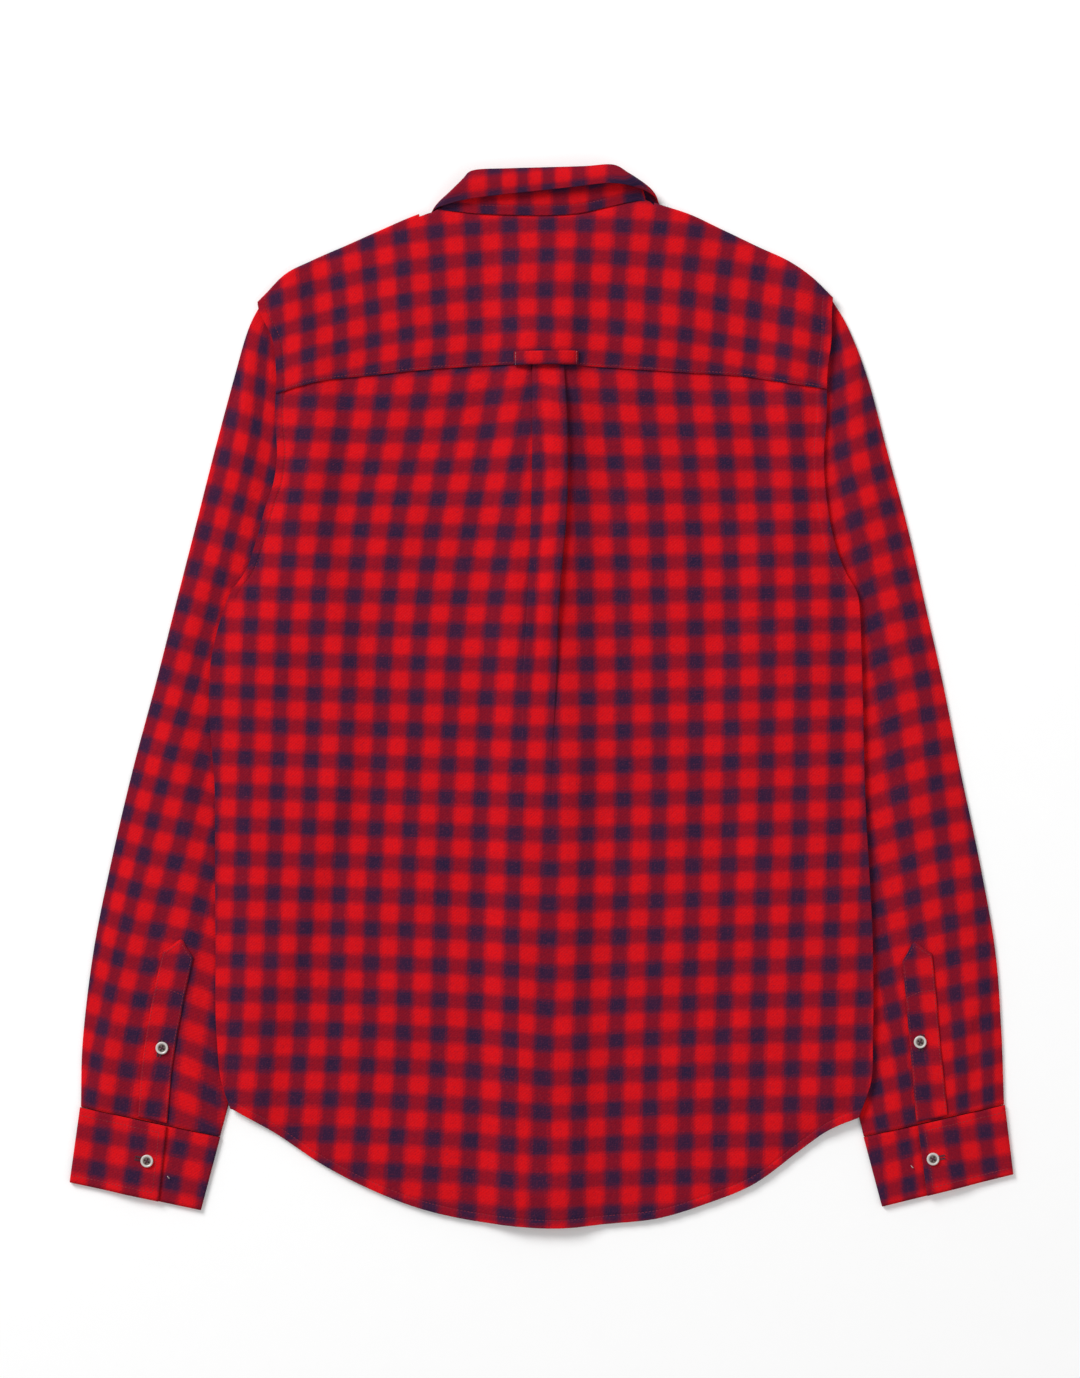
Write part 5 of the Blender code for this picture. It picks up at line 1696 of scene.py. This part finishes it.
# Centre and direction of each buttonhole that shows on the sleeves, and the height of the cloth there.
BUTTONHOLES = table(
    "x y along_x along_y level",
    (-298.6, -347.6, 0.985, -0.17, 5.9),
    (296.4, -346.8, 0.985, 0.17, 5.9),
    (-286.2, -264.4, 0.12, 0.99, 6.0),
    (285.0, -260.2, 0.1, 0.99, 6.0),
)


def make_buttonholes(dark, pale):
    runs = []
    for x, y, along_x, along_y, level in zip(*BUTTONHOLES.values()):
        along = np.linspace(-0.5, 0.5, BUTTONHOLE_POINTS)[:, None] * BUTTONHOLE_LENGTH
        for half in (-BUTTONHOLE_HALF, BUTTONHOLE_HALF):
            path = np.array([x, y]) + along * (along_x, along_y) + half * np.array([-along_y, along_x])
            runs.append(across_run(np.column_stack([path, np.full(len(path), level)]), **BUTTONHOLE_STITCH))
    stitches("buttonhole_stitches", runs, dark)
    # A painted glint: pale specks, drawn as pale thread, where spare buttons lie mostly hidden under the
    # cuffs.
    specks = [stitch_run(np.array(ends, float), UP, **SPECK) for ends in PAINTED_GLINT_SPOTS]
    stitches("loose_threads", specks, pale)


def across_run(path, pitch, length, width):
    """A row of stitches that lie across a straight path, as along a buttonhole."""
    whole = np.linalg.norm(path[-1] - path[0])
    forward = (path[-1] - path[0]) / whole
    side = np.cross(UP, forward)
    places = [path[0] + forward * at for at in np.arange(pitch / 2, whole, pitch)]
    paths = [(place - side, place + side) for place in places]
    return joined([stitch_run(across, UP, ACROSS_PITCH, length, width) for across in paths])


# ---------------------------------------------------------------- buttons

BUTTON_PROFILE = (
    (0.0, 0.0),
    (3.6, 0.0),
    (4.35, 0.15),
    (4.68, 0.55),
    (4.75, 0.95),
    (4.66, 1.35),
    (4.4, 1.68),
    (4.05, 1.8),
    (3.7, 1.74),
    (3.4, 1.55),
    (3.1, 1.38),
    (2.6, 1.3),
    (0.0, 1.3),
)
BUTTON_TURNS = 56
PROFILE_MERGE = 0.00001
DRILL_SIDES, DRILL_ENDS = 16, (-1.0, 3.0)
RIM_SHARP_ANGLE = math.radians(50)
BUTTON_SPIN = math.radians(18)
FRONT_BUTTON_LOW = 0.1
THREAD_CORNER, THREAD_LEVEL, THREAD_PROUD = 1.1, 0.9, 0.5
THREAD_STITCH = dict(pitch=3.2, length=3.3, width=0.9)


def button_drill(side_x, side_y):
    """A rod through one of the button's four holes."""
    angles = np.linspace(0, 2 * math.pi, DRILL_SIDES + 1)[:-1]
    centre = (side_x * HOLE_SPACING, side_y * HOLE_SPACING)
    ring = np.stack([np.cos(angles), np.sin(angles)], -1) * HOLE_RADIUS + centre
    ends = [(*place, height) for height in DRILL_ENDS for place in ring]
    low, high = range(DRILL_SIDES), range(DRILL_SIDES, 2 * DRILL_SIDES)
    faces = [(i, (i + 1) % DRILL_SIDES, DRILL_SIDES + (i + 1) % DRILL_SIDES, DRILL_SIDES + i) for i in low]
    mesh = bpy.data.meshes.new("button_drill")
    mesh.from_pydata((np.array(ends) * MM).tolist(), [], [*faces, tuple(reversed(low)), tuple(high)])
    return linked("button_drill", mesh)


def button_mesh():
    """One button, face up, with its four holes cut through."""
    turned = bpy.data.meshes.new("button_profile")
    points = [(radius * MM, 0, height * MM) for radius, height in reversed(BUTTON_PROFILE)]
    turned.from_pydata(points, [(i, i + 1) for i in range(len(points) - 1)], [])
    master = linked("button_master", turned)
    screw = master.modifiers.new("turned", "SCREW")
    screw.steps = screw.render_steps = BUTTON_TURNS
    screw.use_merge_vertices = True
    screw.merge_threshold = PROFILE_MERGE
    drills = [button_drill(side_x, side_y) for side_x in (-1, 1) for side_y in (-1, 1)]
    for drill in drills:
        cut = master.modifiers.new("hole", "BOOLEAN")
        cut.operation, cut.solver, cut.object = "DIFFERENCE", "EXACT", drill
    graph = bpy.context.evaluated_depsgraph_get()
    made = bpy.data.meshes.new_from_object(master.evaluated_get(graph))
    for helper in (master, *drills):
        bpy.data.objects.remove(helper, do_unlink=True)
    face = made.uv_layers.new(name="face")
    for loop, place in zip(made.loops, face.data):
        point = made.vertices[loop.vertex_index].co
        place.uv = (point.x / (BUTTON_RADIUS * MM), point.y / (BUTTON_RADIUS * MM))
    made.shade_smooth()
    made.set_sharp_from_angle(angle=RIM_SHARP_ANGLE)
    return made


def make_button(name, mesh, x, y, low, face_up, dark):
    """A button at a place with its lower face at a height, and the crossed threads that hold it."""
    piece = linked(f"{name}_shell", mesh)
    piece.location = (x * MM, y * MM, (low if face_up else low + BUTTON_THICK) * MM)
    piece.rotation_euler = (0 if face_up else math.pi, 0, BUTTON_SPIN)
    settle(piece, name, slot="button")
    flip = 1 if face_up else -1
    level = low + THREAD_LEVEL + flip * THREAD_PROUD
    runs = []
    for slant in (1, -1):
        ends = [(x + share * THREAD_CORNER, y + share * slant * THREAD_CORNER, level) for share in (-1, 1)]
        runs.append(stitch_run(ends, (0, 0, flip), **THREAD_STITCH))
    stitches(f"{name}_thread", runs, dark)


def make_buttons(settings, look, dark):
    master = button_mesh()
    master.materials.clear()
    master.materials.append(look)
    for i in range(FRONT_BUTTON_COUNT):
        y = FRONT_BUTTON_TOP - i * FRONT_BUTTON_PITCH
        make_button(f"front_button_{i + 1}", master.copy(), 0.0, y, FRONT_BUTTON_LOW, False, dark)
    make_button("stand_button", master.copy(), 0.0, STAND_BUTTON_Y, FRONT_BUTTON_LOW, False, dark)
    for name, x, y, low in SLEEVE_BUTTONS:
        make_button(name, master.copy(), x, y, low, True, dark)
    bpy.data.meshes.remove(master)


# ---------------------------------------------------------------- stage

CAMERA_LENS, CAMERA_SENSOR = 85.0, 36.0
FRAME_LONG_SIDE = 1.0335
CAMERA_X, CAMERA_Y = -0.0011, 0.0052
CLOTH_LEVEL = 0.006
FLOOR_SIZE, FLOOR_DROP = 6.0, 0.0002
KEY_PLACE, KEY_SIZE = (-2.6, 2.8, 2.9), 1.9
FILL_PLACE, FILL_SIZE = (1.9, -0.9, 2.3), 2.4


def make_stage(settings, look):
    mesh = bpy.data.meshes.new("shirt_floor")
    half = FLOOR_SIZE / 2
    corners = ((-half, -half), (half, -half), (half, half), (-half, half))
    mesh.from_pydata([(*corner, -FLOOR_DROP) for corner in corners], [], [(0, 1, 2, 3)])
    mesh.materials.append(look)
    floor = linked("shirt_floor", mesh)
    floor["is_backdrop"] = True

    camera_data = bpy.data.cameras.new("shirt_camera")
    camera_data.lens, camera_data.sensor_width = CAMERA_LENS, CAMERA_SENSOR
    camera = linked("shirt_camera", camera_data)
    camera.location = (CAMERA_X, CAMERA_Y, CLOTH_LEVEL + FRAME_LONG_SIDE * CAMERA_LENS / CAMERA_SENSOR)
    bpy.context.scene.camera = camera

    for name, place, size, power in (
        ("key_light", KEY_PLACE, KEY_SIZE, settings.key_power),
        ("fill_light", FILL_PLACE, FILL_SIZE, settings.fill_power),
    ):
        data = bpy.data.lights.new(name, "AREA")
        data.shape, data.size, data.energy = "SQUARE", size, power
        light = linked(name, data)
        light.location = place
        light.rotation_euler = (-Vector(place)).to_track_quat("-Z", "Y").to_euler()

    world = bpy.data.worlds.new("studio")
    world.use_nodes = True
    background = world.node_tree.nodes["Background"]
    background.inputs["Color"].default_value = (1, 1, 1, 1)
    background.inputs["Strength"].default_value = settings.room_light
    bpy.context.scene.world = world
    bpy.context.scene.view_settings.view_transform = "Standard"


# ---------------------------------------------------------------- the add-on


def colour(name, description, default):
    return bpy.props.FloatVectorProperty(
        name=name, description=description, default=default, subtype="COLOR", size=3, min=0, max=1
    )


def number(name, description, default, low, high, **more):
    limits = dict(min=low, max=high)
    return bpy.props.FloatProperty(name=name, description=description, default=default, **limits, **more)


class ShirtClothSettings(bpy.types.PropertyGroup):
    """Colours and finish of the checked cloth."""

    red: colour("Red", "Ground colour of the check", (0.680, 0.0030, 0.0060))
    maroon: colour("Maroon", "Where one dark band crosses the red", (0.205, 0.0030, 0.0145))
    navy: colour("Navy", "Where two dark bands cross", (0.020, 0.0095, 0.0390))
    fibre: colour("Fibre", "Light fibres in the brushed face", (0.50, 0.050, 0.075))
    heather: number("Heather", "How much single light and dark fibres show", 0.45, 0, 1, subtype="FACTOR")
    nap_depth: number("Nap depth", "Strength of the yarn and nap relief", 0.35, 0, 1, subtype="FACTOR")
    nap_sheen: number("Nap sheen", "Soft light on the brushed face", 0.05, 0, 1, subtype="FACTOR")
    fold_strength: number("Folds", "Depth of the creases, as a multiple", 1.0, 0, 2)
    stitch_pitch: number("Stitch pitch", "Length from stitch to stitch in millimetres", 2.7, 1, 6)
    stitch_width: number("Stitch width", "Thickness of the thread in millimetres", 0.42, 0.1, 1)


class ShirtButtonSettings(bpy.types.PropertyGroup):
    """Colours of the buttons."""

    rim: colour("Rim", "Colour of a button's rim", (0.60, 0.56, 0.53))
    middle: colour("Middle", "Colour of a button's dished middle", (0.10, 0.075, 0.065))


class ShirtStageSettings(bpy.types.PropertyGroup):
    """The floor and the light."""

    floor: colour("Floor", "Colour of the floor", (0.97, 0.97, 0.97))
    key_power: number("Key light", "Power of the main light", 200.0, 0, 500, unit="POWER")
    fill_power: number("Fill light", "Power of the fill light", 14.0, 0, 500, unit="POWER")
    room_light: number("Room light", "Strength of the even light from all round", 0.44, 0, 3)


def finish_of(context, name):
    """A finish by name, made when it is first asked for."""
    if name not in MADE_FINISHES:
        scene = context.scene
        groups = {"button_shell": scene.shirt_buttons, "floor_paper": scene.shirt_stage}
        MADE_FINISHES[name] = FINISHES[name](groups.get(name, scene.shirt_cloth))
    return MADE_FINISHES[name]


MADE_FINISHES = {}
FINISHES = {
    "flannel": flannel,
    "thread": thread,
    "dark_thread": dark_thread,
    "pale_thread": pale_thread,
    "button_shell": button_shell,
    "floor_paper": floor_paper,
}


class PieceOperator:
    """What the operators share: each makes its pieces from a group of settings and from finishes."""

    bl_options = {"REGISTER", "UNDO"}
    maker, group, finishes = None, "shirt_cloth", ("flannel",)

    def execute(self, context):
        looks = [finish_of(context, name) for name in self.finishes]
        type(self).maker(getattr(context.scene, self.group), *looks)
        return {"FINISHED"}


class SHIRT_OT_stage(PieceOperator, bpy.types.Operator):
    """Make the floor, the lights and the camera"""

    bl_idname, bl_label = "shirt.stage", "Stage"
    maker, group, finishes = staticmethod(make_stage), "shirt_stage", ("floor_paper",)


class SHIRT_OT_back(PieceOperator, bpy.types.Operator):
    """Make the back with its pleat"""

    bl_idname, bl_label = "shirt.back", "Back"
    maker = staticmethod(make_back)


class SHIRT_OT_yoke(PieceOperator, bpy.types.Operator):
    """Make the yoke and its hanging loop"""

    bl_idname, bl_label = "shirt.yoke", "Yoke and loop"
    maker = staticmethod(make_yoke)


class SHIRT_OT_fronts(PieceOperator, bpy.types.Operator):
    """Make the two fronts and the band behind the buttons"""

    bl_idname, bl_label = "shirt.fronts", "Fronts"
    maker = staticmethod(make_fronts)


class SHIRT_OT_collar(PieceOperator, bpy.types.Operator):
    """Make the collar's stand and its turned-down leaf"""

    bl_idname, bl_label = "shirt.collar", "Collar"
    maker = staticmethod(make_collar)


class SHIRT_OT_sleeves(PieceOperator, bpy.types.Operator):
    """Make the two sleeves"""

    bl_idname, bl_label = "shirt.sleeves", "Sleeves"
    maker = staticmethod(make_sleeves)


class SHIRT_OT_cuffs(PieceOperator, bpy.types.Operator):
    """Make the cuffs and the sleeve plackets"""

    bl_idname, bl_label = "shirt.cuffs", "Cuffs and plackets"
    maker = staticmethod(make_cuffs)


class SHIRT_OT_stitching(PieceOperator, bpy.types.Operator):
    """Sew the seams, hems, buttonholes and loop ends"""

    bl_idname, bl_label = "shirt.stitching", "Stitching"
    maker, finishes = staticmethod(make_stitching), ("thread", "dark_thread", "pale_thread")


class SHIRT_OT_buttons(PieceOperator, bpy.types.Operator):
    """Make the buttons and the thread that holds them"""

    bl_idname, bl_label = "shirt.buttons", "Buttons"
    maker, group, finishes = staticmethod(make_buttons), "shirt_buttons", ("button_shell", "dark_thread")


STEPS = (
    SHIRT_OT_stage,
    SHIRT_OT_back,
    SHIRT_OT_yoke,
    SHIRT_OT_fronts,
    SHIRT_OT_collar,
    SHIRT_OT_sleeves,
    SHIRT_OT_cuffs,
    SHIRT_OT_stitching,
    SHIRT_OT_buttons,
)
GROUPS = {
    "shirt_cloth": ShirtClothSettings,
    "shirt_buttons": ShirtButtonSettings,
    "shirt_stage": ShirtStageSettings,
}


class SHIRT_PT_panel(bpy.types.Panel):
    """Lists the shirt's settings and its pieces"""

    bl_idname, bl_label = "SHIRT_PT_panel", "Flannel shirt"
    bl_space_type, bl_region_type, bl_category = "VIEW_3D", "UI", "Shirt"

    def draw(self, context):
        for name, group in GROUPS.items():
            box = self.layout.box()
            for setting in group.__annotations__:
                box.prop(getattr(context.scene, name), setting)
        for step in STEPS:
            self.layout.operator(step.bl_idname)


def register():
    for name, group in GROUPS.items():
        bpy.utils.register_class(group)
        setattr(bpy.types.Scene, name, bpy.props.PointerProperty(type=group))
    for kind in (*STEPS, SHIRT_PT_panel):
        bpy.utils.register_class(kind)


def unregister():
    for kind in (SHIRT_PT_panel, *reversed(STEPS)):
        bpy.utils.unregister_class(kind)
    for name, group in GROUPS.items():
        delattr(bpy.types.Scene, name)
        bpy.utils.unregister_class(group)


def main():
    register()
    for step in STEPS:
        group, name = step.bl_idname.split(".")
        getattr(getattr(bpy.ops, group), name)()
    corners = {"cad": CAD_BOX, "visual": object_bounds()}
    boxes = {name: [list(corner) for corner in box] for name, box in corners.items()}


if __name__ == "__main__":
    main()
